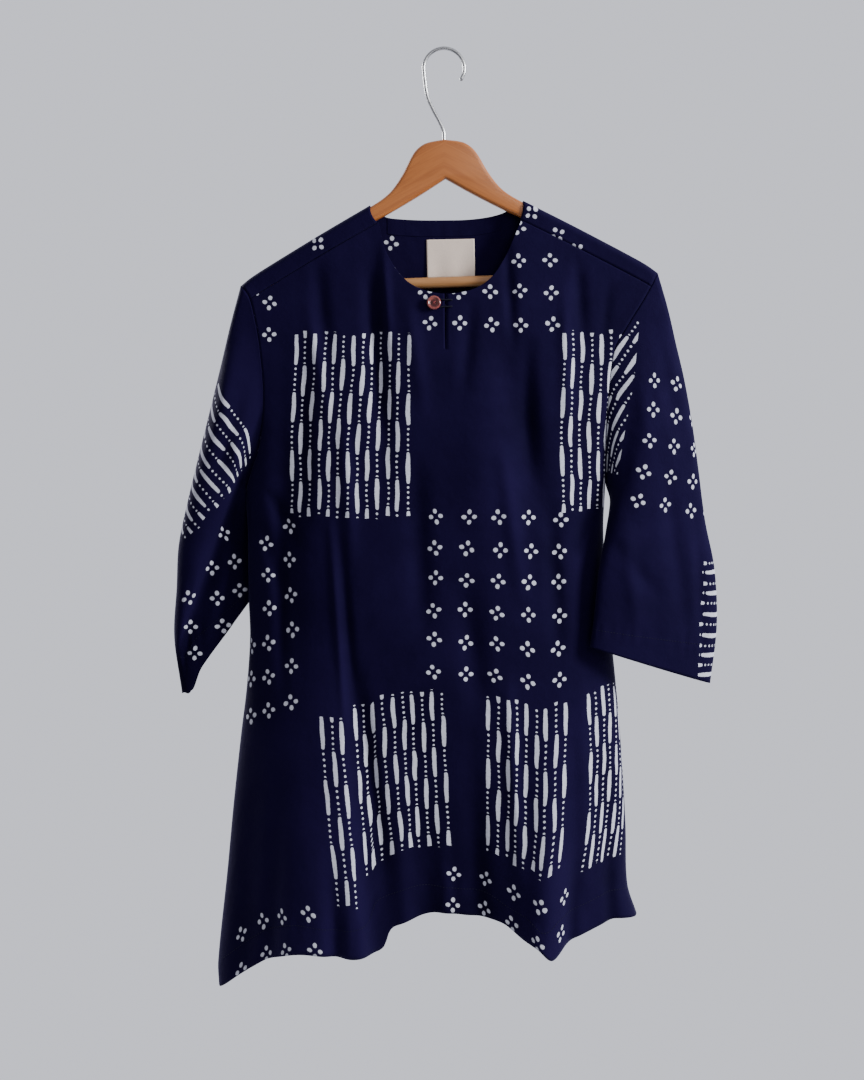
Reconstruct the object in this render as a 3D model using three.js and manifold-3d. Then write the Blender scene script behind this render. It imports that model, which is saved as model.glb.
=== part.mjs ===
// A batik kurta on a wooden hanger.
// Millimetres, +Z up, +X to the right as seen from the front, front towards -Y.
// The origin is the underside of the hook's bend, where a rail carries it.
// "drop" is a distance below the origin, so z = -drop, and "out" is a distance from the
// hanger's middle line. Left and right are as seen from the front.

import * as THREE from 'three';
import * as BufferGeometryUtils from 'three/addons/utils/BufferGeometryUtils.js';
import Module from 'manifold-3d';

// ---- driving dimensions ----

const CLOTH = 1.5;              // wall of the cotton, hems and seams included
const SEAM_GAP = 0.35;          // clearance between pieces that meet
const SLEEVE_GAP = 0.5;         // clearance of a sleeve's first section from the armhole
const SHOULDER_BEND = 8;        // radius of the cloth over the hanger's arms
const SEAM_FORWARD = 30;        // angle on the armhole where the shoulder seam lies, degrees

const SHOULDER_COLUMNS = 10;    // grid columns along one shoulder
const NECK_COLUMNS = 16;        // grid columns along the neckline
const ARMHOLE_STEP = 15;        // degrees between two points of the armhole
const RIDGE_STEP_ANGLE = 7.5;   // one extra point on each side of the shoulder ridge
const SIDE_ROWS = 12;           // grid rows from the armpit to the hem
const SLEEVE_RINGS = 14;        // sections along a sleeve

const CROWN_DROP = 97;          // top of the hanger's wood
const HANGER_TILT = 1.9;        // degrees, right arm up
const ARM_HALF_THICK = 6;       // the wood is 12 mm thick
const ARM_ROUNDING = 5;         // rounded edges of the wood
const ARM_UNDER_CLOTH = 2.2;    // top of the wood below the ridge of the cloth
const ARM_END = 203;            // where the top of the arm ends
const ARM_STEPS = { top: 26, underside: 14 };
const BAR_RADIUS = 6;
const BAR_DROP = 251;
const BAR_HALF_LENGTH = 183.6;
const BAR_SIDES = 20;
const WIRE_RADIUS = 2;
const HOOK_RADIUS = 22;         // middle line of the hook's bend
const HOOK_WIRE = { sides: 10, steps: 48 };

const BUTTON_AT = { x: -11, drop: 275 };
const BUTTON_TURNS = 32;
// Radius and height: shank, dish, raised rim and the hollow in the middle.
const BUTTON_PROFILE = [
  [0, 0], [4, 0], [4, 2.4], [6.6, 2.6], [7.5, 3.4], [7.5, 4.6], [6.9, 5.5], [5.9, 5.7],
  [5, 5.2], [4.2, 4.5], [0, 4.3],
];
const LOOP_CORD = 0.9;          // radius of the button loop
const SLIT = { x: 1, top: 255, foot: 324, wide: 1.6, footWide: 0.5, cutDeep: 60 };
const LOOP = { reach: 5.4, inset: 4, mouth: 3.4, tail: 2.5, sides: 8, steps: 36 };

const FACING_WALL = 0.8;
const FACING_DEEP = 17;
const FACING_BELOW_EDGE = 1;
const FACING_GRID = { columns: 14, rows: 3 };
const LABEL = { x: 9, drop: 205, wide: 52, high: 41, wall: 0.7, turn: -1.2 };
const LABEL_GRID = { columns: 4, rows: 4 };

// Ridge line of the shoulders, in the hanger's own upright frame.
const SHOULDER_RIDGE = [
  { out: 82, drop: 165 },
  { out: 125, drop: 188.3 },
  { out: 162, drop: 209 },
  { out: 203, drop: 232.6 },
  { out: 215, drop: 240.2 },
  { out: 225, drop: 248 },
  { out: 240, drop: 261 },
];
const NECK_SLOPE = 0.56;        // slope of the ridge where the neckline leaves it

// Side outline of the body: armhole seam down to the armpit, then side seam to the hem.
const LEFT_EDGE = {
  tip: -219,
  armpit: 475,
  rows: [
    { drop: 266, x: -210 },
    { drop: 286, x: -204 },
    { drop: 324, x: -197 },
    { drop: 378, x: -193 },
    { drop: 425, x: -198 },
    { drop: 460, x: -209 },
    { drop: 475, x: -213.5 },
    { drop: 520, x: -212 },
    { drop: 591, x: -211 },
    { drop: 633, x: -209.5 },
    { drop: 687, x: -213 },
    { drop: 737, x: -219 },
    { drop: 811, x: -227 },
    { drop: 886, x: -234 },
    { drop: 984, x: -244 },
    { drop: 1009, x: -243 },
  ],
};
const RIGHT_EDGE = {
  tip: 230,
  armpit: 470,
  rows: [
    { drop: 256, x: 222 },
    { drop: 270, x: 214 },
    { drop: 297, x: 197 },
    { drop: 324, x: 182 },
    { drop: 378, x: 175 },
    { drop: 425, x: 173.5 },
    { drop: 470, x: 174 },
    { drop: 515, x: 172 },
    { drop: 594, x: 175 },
    { drop: 649, x: 182 },
    { drop: 737, x: 190 },
    { drop: 836, x: 196 },
    { drop: 900, x: 198 },
    { drop: 932, x: 208 },
  ],
};

// Front and back hems, from the left side seam to the right one.
const FRONT_HEM = [
  { x: -243, drop: 1009 },
  { x: -219, drop: 988 },
  { x: -188, drop: 964 },
  { x: -155, drop: 952 },
  { x: -110, drop: 957 },
  { x: -84, drop: 951 },
  { x: -70, drop: 930 },
  { x: -30, drop: 918 },
  { x: 15, drop: 921 },
  { x: 45, drop: 925 },
  { x: 68, drop: 938 },
  { x: 88, drop: 950 },
  { x: 103, drop: 955 },
  { x: 120, drop: 948 },
  { x: 146, drop: 938 },
  { x: 178, drop: 929 },
  { x: 208, drop: 932 },
];
const BACK_HEM = [
  { x: -243, drop: 1009 },
  { x: -200, drop: 975 },
  { x: -150, drop: 950 },
  { x: -90, drop: 938 },
  { x: -20, drop: 930 },
  { x: 60, drop: 930 },
  { x: 120, drop: 938 },
  { x: 170, drop: 930 },
  { x: 208, drop: 932 },
];

// Neckline. Each neck point lies on the ridge. From there the edge runs "spread" towards the
// middle down to the shoulder seam, and along the back neck to the other point.
const NECK_SEAM_BELOW = 23.5;
const LEFT_NECK = { x: -80, spread: 8 };
const RIGHT_NECK = { x: 85.5, spread: -4 };
const BACK_NECK = [
  { x: -72, drop: 174.5 },
  { x: -62, drop: 180 },
  { x: -46, drop: 182 },
  { x: -24, drop: 183 },
  { x: 0, drop: 183 },
  { x: 24, drop: 182.5 },
  { x: 46, drop: 180 },
  { x: 62, drop: 176 },
  { x: 75, drop: 170 },
];
// The front neckline between its two ends at the shoulder seams.
const FRONT_NECK = [
  { x: -59, drop: 222 },
  { x: -40, drop: 249 },
  { x: -14, drop: 263 },
  { x: 15, drop: 263 },
  { x: 42, drop: 252 },
  { x: 62, drop: 227 },
];

// How far each panel stands off the hanger's plane, and how far the armhole opens.
const FRONT_DEPTH = [
  { drop: 160, deep: 8 },
  { drop: 266, deep: 25 },
  { drop: 350, deep: 35 },
  { drop: 480, deep: 42 },
  { drop: 750, deep: 47 },
  { drop: 1010, deep: 54 },
];
const BACK_DEPTH = [
  { drop: 160, deep: 8 },
  { drop: 266, deep: 17 },
  { drop: 350, deep: 25 },
  { drop: 480, deep: 34 },
  { drop: 750, deep: 42 },
  { drop: 1010, deep: 50 },
];
const DEPTH_GROWTH = 110;       // distance below the ridge over which the cloth opens
const ARMHOLE_OPEN = 18;        // half width of the armhole
const ARMHOLE_CLOSES = 0.6;     // share of the armhole above its rounded foot
const ROUND_SIDES = 3;          // power of the panel's curve across its width
const SIDES_ROUND_FROM = 0.35;  // share of the armhole where the sides start to round
const ROUND_FOOT = 0.5;         // power of that curve's end at the side seam, below the armpit

// Folds: a soft ridge (out > 0) or furrow (out < 0) along a line from head to foot.
// "to_hem" folds grow all the way down, the others fade at both ends.
const FRONT_FOLDS = [
  { name: 'left side hollow', x0: -177, drop0: 290, x1: -160, drop1: 680, wide: 15, out: -9, to_hem: false },
  { name: 'left chest furrow', x0: -78, drop0: 195, x1: -62, drop1: 500, wide: 13, out: -5, to_hem: false },
  { name: 'right chest furrow', x0: 62, drop0: 300, x1: 106, drop1: 520, wide: 17, out: -7, to_hem: false },
  { name: 'chest swell', x0: 26, drop0: 300, x1: 60, drop1: 640, wide: 26, out: 4, to_hem: false },
  { name: 'right side furrow', x0: 150, drop0: 300, x1: 150, drop1: 640, wide: 12, out: -5, to_hem: false },
  { name: 'left flare', x0: -140, drop0: 600, x1: -150, drop1: 1010, wide: 48, out: 15, to_hem: true },
  { name: 'left side shade', x0: -200, drop0: 620, x1: -214, drop1: 1010, wide: 18, out: -9, to_hem: true },
  { name: 'centre hollow', x0: -10, drop0: 640, x1: -12, drop1: 980, wide: 52, out: -15, to_hem: true },
  { name: 'right cone', x0: 124, drop0: 640, x1: 102, drop1: 970, wide: 27, out: 26, to_hem: true },
  { name: 'right strip', x0: 146, drop0: 670, x1: 152, drop1: 920, wide: 9, out: 4, to_hem: false },
];
const BACK_FOLDS = [
  { name: 'yoke furrow', x0: -60, drop0: 260, x1: -44, drop1: 560, wide: 20, out: -6, to_hem: false },
  { name: 'right blade furrow', x0: 96, drop0: 280, x1: 84, drop1: 620, wide: 18, out: -7, to_hem: false },
  { name: 'left back cone', x0: -128, drop0: 560, x1: -150, drop1: 1000, wide: 30, out: 20, to_hem: true },
  { name: 'left back furrow', x0: -66, drop0: 520, x1: -72, drop1: 970, wide: 24, out: -14, to_hem: true },
  { name: 'middle back cone', x0: 4, drop0: 600, x1: 8, drop1: 960, wide: 28, out: 14, to_hem: true },
  { name: 'right back furrow', x0: 70, drop0: 560, x1: 74, drop1: 960, wide: 22, out: -13, to_hem: true },
  { name: 'right back cone', x0: 118, drop0: 580, x1: 136, drop1: 960, wide: 26, out: 16, to_hem: true },
];
// The long crease where the left part of the front falls over its middle.
const FRONT_STEP = { x0: -124, drop0: 500, x1: -77, drop1: 975, wide: 7, out: 17, reach: 120 };

// Sleeves, section by section: the outer fold line, the inner fold line and half the thickness.
const LEFT_SLEEVE = [
  { at: 0, outX: -219, outDrop: 253, outY: 0, inX: -214, inDrop: 475, inY: 0, half: 18 },
  { at: 0.1, outX: -230, outDrop: 295, outY: 0, inX: -220, inDrop: 479, inY: 3, half: 19 },
  { at: 0.22, outX: -241, outDrop: 343, outY: 0, inX: -217, inDrop: 490, inY: 9, half: 19 },
  { at: 0.34, outX: -253, outDrop: 392, outY: 0, inX: -212, inDrop: 505, inY: 14, half: 18 },
  { at: 0.46, outX: -265, outDrop: 440, outY: 0, inX: -209, inDrop: 521, inY: 17, half: 17 },
  { at: 0.58, outX: -276.5, outDrop: 487, outY: 1, inX: -208, inDrop: 536, inY: 18, half: 16 },
  { at: 0.7, outX: -286.5, outDrop: 535, outY: 2, inX: -208, inDrop: 551, inY: 19, half: 15 },
  { at: 0.8, outX: -289, outDrop: 580, outY: 4, inX: -208, inDrop: 563, inY: 19, half: 14 },
  { at: 0.9, outX: -292, outDrop: 634, outY: 6, inX: -208, inDrop: 577, inY: 19, half: 13 },
  { at: 1, outX: -284, outDrop: 695, outY: 8, inX: -208, inDrop: 592, inY: 19, half: 12 },
];
const RIGHT_SLEEVE = [
  { at: 0, outX: 230, outDrop: 242, outY: 0, inX: 174.5, inDrop: 470, inY: 0, half: 18 },
  { at: 0.1, outX: 241, outDrop: 280, outY: -1, inX: 178, inDrop: 484, inY: -8, half: 19 },
  { at: 0.22, outX: 250, outDrop: 318, outY: -2, inX: 176.5, inDrop: 498, inY: -15, half: 19 },
  { at: 0.34, outX: 258.5, outDrop: 355, outY: -3, inX: 173.5, inDrop: 512, inY: -20, half: 18 },
  { at: 0.46, outX: 266.5, outDrop: 400, outY: -4, inX: 170.5, inDrop: 527, inY: -24, half: 17 },
  { at: 0.58, outX: 273, outDrop: 448, outY: -5, inX: 167, inDrop: 543, inY: -27, half: 16 },
  { at: 0.7, outX: 280.5, outDrop: 507, outY: -6, inX: 163.5, inDrop: 562, inY: -30, half: 15 },
  { at: 0.8, outX: 290.5, outDrop: 560, outY: -8, inX: 161, inDrop: 583, inY: -32, half: 14 },
  { at: 0.9, outX: 292.5, outDrop: 620, outY: -10, inX: 158, inDrop: 610, inY: -34, half: 13 },
  { at: 1, outX: 285, outDrop: 681, outY: -12, inX: 154, inDrop: 638, inY: -36, half: 12 },
];
const SLEEVE_BLUNT = 0.7;       // how blunt the fold lines of a sleeve are
const ARMHOLE_FADES = 0.25;     // share of the sleeve that still carries the armhole's curve
// Diagonal crease of the left sleeve: above it the cloth stands proud.
const LEFT_CREASE = { x0: -218, drop0: 457, x1: -279, drop1: 579, wide: 9, out: 9 };

// Top and underside of the hanger's wood, in its own upright frame.
const CROWN_TOP = [
  { out: 0, drop: 97 },
  { out: 20, drop: 100.5 },
  { out: 30, drop: 107 },
  { out: 36, drop: 115 },
  { out: 47, drop: 135 },
  { out: 61, drop: 153 },
];
const ARM_UNDERSIDE = [
  { out: 0, drop: 139.5 },
  { out: 30, drop: 157.5 },
  { out: 60, drop: 174 },
  { out: 78, drop: 183 },
  { out: 125, drop: 209 },
  { out: 162, drop: 230 },
  { out: 177, drop: 239 },
];
const ARM_TOE = [
  { out: 184, drop: 245 },
  { out: 184, drop: 262 },
  { out: 190, drop: 268 },
  { out: 201, drop: 266 },
  { out: 208, drop: 256 },
  { out: 209, drop: 244 },
];
// The hook: stem, swan neck and the free end past the bend.
const HOOK_STEM = [
  { x: 0, drop: 96.6 },
  { x: -0.5, drop: 88 },
  { x: -5, drop: 77 },
  { x: -12, drop: 64 },
  { x: -18.5, drop: 48 },
];
const HOOK_BEND = { start: 190, tip: -32, points: 10 }; // degrees from the right, anticlockwise

const COLOURS = {
  cloth: 0x0b0b22,
  facing: 0x101030,
  label: 0xcdc2b4,
  button: 0x6b2a24,
  wood: 0xb5763f,
  bar: 0xc08a55,
  steel: 0x8d8f92,
};

// ---- small tools ----

const degrees = (angle) => angle * Math.PI / 180;
const blend = (a, b, t) => a + (b - a) * t;
const clamp01 = (t) => Math.min(1, Math.max(0, t));

function smooth(t) {
  const s = clamp01(t);
  return s * s * (3 - 2 * s);
}

// A smooth function through the rows of a table, from one named column to another.
function curveThrough(rows, from, to) {
  const slopes = rows.map((row, i) => {
    const before = rows[Math.max(i - 1, 0)];
    const after = rows[Math.min(i + 1, rows.length - 1)];
    return (after[to] - before[to]) / (after[from] - before[from]);
  });
  return (value) => {
    let i = 0;
    while (i < rows.length - 2 && value > rows[i + 1][from]) {
      i += 1;
    }
    const span = rows[i + 1][from] - rows[i][from];
    const t = clamp01((value - rows[i][from]) / span);
    const back = (1 + 2 * t) * (1 - t) ** 2;
    const ahead = t * t * (3 - 2 * t);
    const leave = t * (1 - t) ** 2 * span * slopes[i];
    const arrive = t * t * (t - 1) * span * slopes[i + 1];
    return back * rows[i][to] + ahead * rows[i + 1][to] + leave + arrive;
  };
}

// Evenly spaced points on a smooth flat curve through the rows.
function spacedAlong(rows, across, down, count) {
  const curve = new THREE.SplineCurve(rows.map((row) => new THREE.Vector2(row[across], row[down])));
  return curve.getSpacedPoints(count);
}

// One closed body from two grids of points, the outer and the inner face of a wall. A grid is
// a list of rows, null where the cloth is cut away, and the rim follows every open edge.
// "closed" joins the last column to the first one, as on a tube.
function wallBody(outer, inner, closed) {
  const rows = outer.length;
  const columns = outer[0].length;
  const ids = new Map();
  const positions = [];
  const place = (layer, row, column) => {
    const key = `${layer},${row},${column % columns}`;
    if (!ids.has(key)) {
      ids.set(key, positions.length / 3);
      positions.push(...(layer === 0 ? outer : inner)[row][column % columns].toArray());
    }
    return ids.get(key);
  };
  const cells = [];
  for (let row = 0; row < rows - 1; row += 1) {
    for (let column = 0; column < (closed ? columns : columns - 1); column += 1) {
      const corners = [[row, column], [row + 1, column], [row + 1, column + 1], [row, column + 1]];
      if (corners.every(([r, c]) => outer[r][c % columns])) {
        cells.push(corners);
      }
    }
  }
  const faces = [];
  const quad = (a, b, c, d) => faces.push(a, b, c, a, c, d);
  const edges = new Map();
  cells.forEach((corners) => {
    const [a, b, c, d] = corners.map(([r, k]) => place(0, r, k));
    const [e, f, g, h] = corners.map(([r, k]) => place(1, r, k));
    quad(a, b, c, d);
    quad(e, h, g, f);
    [[a, b, e, f], [b, c, f, g], [c, d, g, h], [d, a, h, e]].forEach((edge) => {
      edges.set(`${edge[0]},${edge[1]}`, edge);
    });
  });
  edges.forEach(([from, to, fromInner, toInner]) => {
    if (!edges.has(`${to},${from}`)) {
      quad(to, from, fromInner, toInner);
    }
  });
  const geometry = new THREE.BufferGeometry();
  geometry.setAttribute('position', new THREE.Float32BufferAttribute(positions, 3));
  geometry.setIndex(faces);
  return facingOut(geometry);
}

function facingOut(geometry) {
  const position = geometry.getAttribute('position');
  const index = geometry.getIndex().array;
  const corner = [new THREE.Vector3(), new THREE.Vector3(), new THREE.Vector3()];
  let volume = 0;
  for (let i = 0; i < index.length; i += 3) {
    corner.forEach((point, k) => point.fromBufferAttribute(position, index[i + k]));
    volume += corner[0].dot(corner[1].clone().cross(corner[2]));
  }
  if (volume < 0) {
    for (let i = 0; i < index.length; i += 3) {
      [index[i], index[i + 1]] = [index[i + 1], index[i]];
    }
  }
  geometry.computeVertexNormals();
  return geometry;
}

function material(colour, roughness, metalness = 0) {
  return new THREE.MeshStandardMaterial({ color: colour, roughness, metalness });
}

const kurta = new THREE.Group();

function addPiece(name, geometry, look) {
  const mesh = new THREE.Mesh(geometry, look);
  mesh.name = name;
  kurta.add(mesh);
  return mesh;
}

// ---- the shoulder line ----

const tilt = degrees(HANGER_TILT);

// From the hanger's upright frame to where it really hangs.
function tilted(x, drop) {
  const below = drop - CROWN_DROP;
  return {
    x: x * Math.cos(tilt) + below * Math.sin(tilt),
    drop: CROWN_DROP - x * Math.sin(tilt) + below * Math.cos(tilt),
  };
}

const armRidge = curveThrough(SHOULDER_RIDGE, 'out', 'drop');

// Outside the neck the ridge lies on the arms; inside it runs on as a low arch.
function uprightRidge(out) {
  const neck = SHOULDER_RIDGE[0];
  if (out >= neck.out) {
    return armRidge(out);
  }
  const inward = neck.out - out;
  return neck.drop - NECK_SLOPE * inward + NECK_SLOPE * inward ** 2 / (2 * neck.out);
}

const RIDGE_STEP = 6;
const RIDGE_REACH = 240;
const ridgeRows = [];
for (let x = -RIDGE_REACH; x <= RIDGE_REACH; x += RIDGE_STEP) {
  ridgeRows.push(tilted(x, uprightRidge(Math.abs(x))));
}
const ridgeDrop = curveThrough(ridgeRows, 'x', 'drop');

// ---- the body's form ----

function sideOutline(edge) {
  const tipDrop = ridgeDrop(edge.tip);
  const rows = [{ drop: tipDrop, x: edge.tip }, ...edge.rows];
  return { ...edge, tipDrop, rows, xAt: curveThrough(rows, 'drop', 'x'), foot: rows[rows.length - 1].drop };
}

const left = sideOutline(LEFT_EDGE);
const right = sideOutline(RIGHT_EDGE);

function armholeShare(side, drop) {
  return (drop - side.tipDrop) / (side.armpit - side.tipDrop);
}

// Half width of the body at its side: the armhole's opening, closed below the armpit.
function sideDepth(side, drop) {
  const share = armholeShare(side, drop);
  if (share >= 1) {
    return SEAM_GAP / 2;
  }
  const open = SHOULDER_BEND + (ARMHOLE_OPEN - SHOULDER_BEND) * Math.sin(Math.PI * clamp01(share));
  const past = Math.max(0, share - ARMHOLE_CLOSES) / (1 - ARMHOLE_CLOSES);
  return Math.max(open * Math.sqrt(1 - past * past), SEAM_GAP / 2);
}

function foldOffset(fold, x, drop) {
  const t = (drop - fold.drop0) / (fold.drop1 - fold.drop0);
  if (t <= 0 || (!fold.to_hem && t >= 1)) {
    return 0;
  }
  const strength = fold.to_hem ? smooth(t) : Math.sin(Math.PI * t);
  const away = (x - blend(fold.x0, fold.x1, t)) / fold.wide;
  return fold.out * strength * Math.exp(-away * away);
}

function stepOffset(step, x, drop) {
  const t = (drop - step.drop0) / (step.drop1 - step.drop0);
  const away = x - blend(step.x0, step.x1, t);
  const side = 0.5 * (1 - Math.tanh(away / step.wide));
  return step.out * smooth(t) * side * Math.exp(-Math.max(0, -away) / step.reach);
}

const frontDepth = curveThrough(FRONT_DEPTH, 'drop', 'deep');
const backDepth = curveThrough(BACK_DEPTH, 'drop', 'deep');

function foldsAt(face, x, drop) {
  const folds = face < 0 ? FRONT_FOLDS : BACK_FOLDS;
  const soft = folds.reduce((sum, fold) => sum + foldOffset(fold, x, drop), 0);
  return face < 0 ? soft + stepOffset(FRONT_STEP, x, drop) : soft;
}

// Distance of the cloth from the hanger's plane. face is -1 for the front and 1 for the back.
function standOff(face, x, drop) {
  const below = Math.max(0, drop - ridgeDrop(x));
  if (below < SHOULDER_BEND) {
    return Math.sqrt(SHOULDER_BEND ** 2 - (SHOULDER_BEND - below) ** 2);
  }
  const leftX = left.xAt(Math.max(drop, left.tipDrop));
  const rightX = right.xAt(Math.max(drop, right.tipDrop));
  const across = clamp01((x - leftX) / (rightX - leftX));
  const side = across < 0.5 ? left : right;
  const atSide = sideDepth(side, drop);
  const full = face < 0 ? frontDepth(drop) : backDepth(drop);
  const grown = 1 - Math.exp(-(below - SHOULDER_BEND) / DEPTH_GROWTH);
  const middle = SHOULDER_BEND + (full - SHOULDER_BEND) * grown;
  const past = (armholeShare(side, drop) - SIDES_ROUND_FROM) / (1 - SIDES_ROUND_FROM);
  const sharpness = blend(1, ROUND_FOOT, smooth(past));
  const arch = (1 - Math.abs(2 * across - 1) ** ROUND_SIDES) ** sharpness;
  return atSide + (middle - atSide) * arch + foldsAt(face, x, drop) * arch;
}

function onPanel(face, x, drop) {
  return new THREE.Vector3(x, face * standOff(face, x, drop), -drop);
}

function onFront(x, height) {
  return onPanel(-1, x, -height);
}

// "below" is signed: distance down the back from the ridge, negative down the front.
function overShoulder(x, below) {
  const face = below < 0 ? -1 : 1;
  return onPanel(face, x, ridgeDrop(x) + Math.abs(below));
}

const PROBE_STEP = 1.5;

// Outward direction of a face given by point(a, b), from small steps kept inside its limits.
// b runs from the front over the ridge to the back.
function outward(point, a, b, low, high) {
  const a0 = Math.max(a - PROBE_STEP, low);
  const a1 = Math.min(a + PROBE_STEP, high);
  const across = point(a1, b).sub(point(a0, b));
  const along = point(a, b + PROBE_STEP).sub(point(a, b - PROBE_STEP));
  return across.cross(along).normalize();
}

// ---- front and back ----

const armholeAngles = [0, RIDGE_STEP_ANGLE];
for (let angle = ARMHOLE_STEP; angle <= 180; angle += ARMHOLE_STEP) {
  armholeAngles.push(angle);
}
const seamAngles = armholeAngles.filter((angle) => angle >= SEAM_FORWARD);

function armholeDrop(side, angle) {
  return blend(side.tipDrop, side.armpit, (1 - Math.cos(degrees(angle))) / 2);
}

function sideSeamDrops(side) {
  const drops = [];
  for (let row = 1; row <= SIDE_ROWS; row += 1) {
    drops.push(blend(side.armpit, side.foot, row / SIDE_ROWS));
  }
  return drops;
}

// A grid of {x, down} points inside four borders, given point by point.
function fillGrid(top, hem, leftSide, rightSide) {
  const rows = leftSide.length - 1;
  const columns = top.length - 1;
  const share = (side, row) => (side[row].down - side[0].down) / (side[rows].down - side[0].down);
  const grid = [];
  for (let row = 0; row <= rows; row += 1) {
    const line = [];
    for (let column = 0; column <= columns; column += 1) {
      const u = column / columns;
      const v = blend(share(leftSide, row), share(rightSide, row), u);
      const cell = {};
      for (const key of ['x', 'down']) {
        const between = blend(leftSide[row][key], rightSide[row][key], u);
        const fall = blend(top[column][key], hem[column][key], v);
        const topFlat = blend(top[0][key], top[columns][key], u);
        const flat = blend(topFlat, blend(hem[0][key], hem[columns][key], u), v);
        cell[key] = between + fall - flat;
      }
      line.push(cell);
    }
    grid.push(line);
  }
  return grid;
}

function shoulderPoints(from, to) {
  const points = [];
  for (let column = 0; column <= SHOULDER_COLUMNS; column += 1) {
    const t = column / SHOULDER_COLUMNS;
    points.push({ x: blend(from.x, to.x, t), below: blend(from.below, to.below, t) });
  }
  return points;
}

function hemPoints(rows, columns) {
  const dropAt = curveThrough(rows, 'x', 'drop');
  const points = [];
  for (let column = 0; column <= columns; column += 1) {
    const x = blend(rows[0].x, rows[rows.length - 1].x, column / columns);
    points.push({ x, drop: dropAt(x) });
  }
  return points;
}

const belowRidge = (point) => point.drop - ridgeDrop(point.x);

// The shoulder seam's line, from the armhole to the neckline, on each side.
function seamLine(side, neckEnd) {
  const drop = armholeDrop(side, SEAM_FORWARD);
  const corner = { x: side.xAt(drop), drop };
  return shoulderPoints(
    { x: corner.x, below: belowRidge(corner) },
    { x: neckEnd.x, below: belowRidge(neckEnd) },
  );
}

function neckEnd(neck) {
  const x = neck.x + neck.spread;
  return { x, drop: ridgeDrop(x) + NECK_SEAM_BELOW };
}

const leftSeam = seamLine(left, neckEnd(LEFT_NECK));
const rightSeam = seamLine(right, neckEnd(RIGHT_NECK)).reverse();

// Turn a grid of {x, down} into the two faces of a wall.
function panelWall(grid, point, sides) {
  const last = grid[0].length - 1;
  const outer = [];
  const inner = [];
  grid.forEach((line, row) => {
    const outerLine = [];
    const innerLine = [];
    line.forEach((cell, column) => {
      if (!cell) {
        outerLine.push(null);
        innerLine.push(null);
        return;
      }
      const spot = point(cell.x, cell.down);
      let normal = outward(point, cell.x, cell.down, line[0].x, line[last].x);
      const edge = column === 0 ? -1 : Number(column === last);
      if (edge !== 0 && sides[row]) {
        normal = new THREE.Vector3(edge, 0, 0);
      } else if (normal.x * edge < 0) {
        normal.setX(0).normalize();
      }
      outerLine.push(spot);
      innerLine.push(spot.clone().addScaledVector(normal, -CLOTH));
    });
    outer.push(outerLine);
    inner.push(innerLine);
  });
  return { outer, inner };
}

function buildFront() {
  const ofSeam = (point) => ({ x: point.x, down: ridgeDrop(point.x) + point.below + SEAM_GAP });
  const neckRows = [neckEnd(LEFT_NECK), ...FRONT_NECK, neckEnd(RIGHT_NECK)];
  const neck = spacedAlong(neckRows, 'x', 'drop', NECK_COLUMNS).map((p) => ({ x: p.x, down: p.y }));
  neck[0].down += SEAM_GAP;
  neck[NECK_COLUMNS].down += SEAM_GAP;
  const top = [...leftSeam.map(ofSeam).slice(0, -1), ...neck, ...rightSeam.map(ofSeam).slice(1)];
  const hem = hemPoints(FRONT_HEM, top.length - 1).map((p) => ({ x: p.x, down: p.drop }));
  const border = (side) => {
    const drops = [...seamAngles.map((angle) => armholeDrop(side, angle)), ...sideSeamDrops(side)];
    const points = drops.map((drop) => ({ x: side.xAt(drop), down: drop }));
    points[0].down += SEAM_GAP;
    return points;
  };
  const grid = fillGrid(top, hem, border(left), border(right));
  const closedSides = grid.map((line, row) => row >= seamAngles.length - 1);
  const upward = grid.map((line) => line.map((cell) => ({ x: cell.x, down: -cell.down })));
  const wall = panelWall(upward, onFront, closedSides);
  return wallBody(wall.outer, wall.inner, false);
}

// The neck edge's point at a signed distance below the ridge, on its way to the seam.
function neckTurn(neck, below) {
  const down = Math.max(0, -below) / NECK_SEAM_BELOW;
  return { x: neck.x + neck.spread * down * down, down: below };
}

function blendPoints(a, b, t) {
  return { x: blend(a.x, b.x, t), down: blend(a.down, b.down, t) };
}

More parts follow.
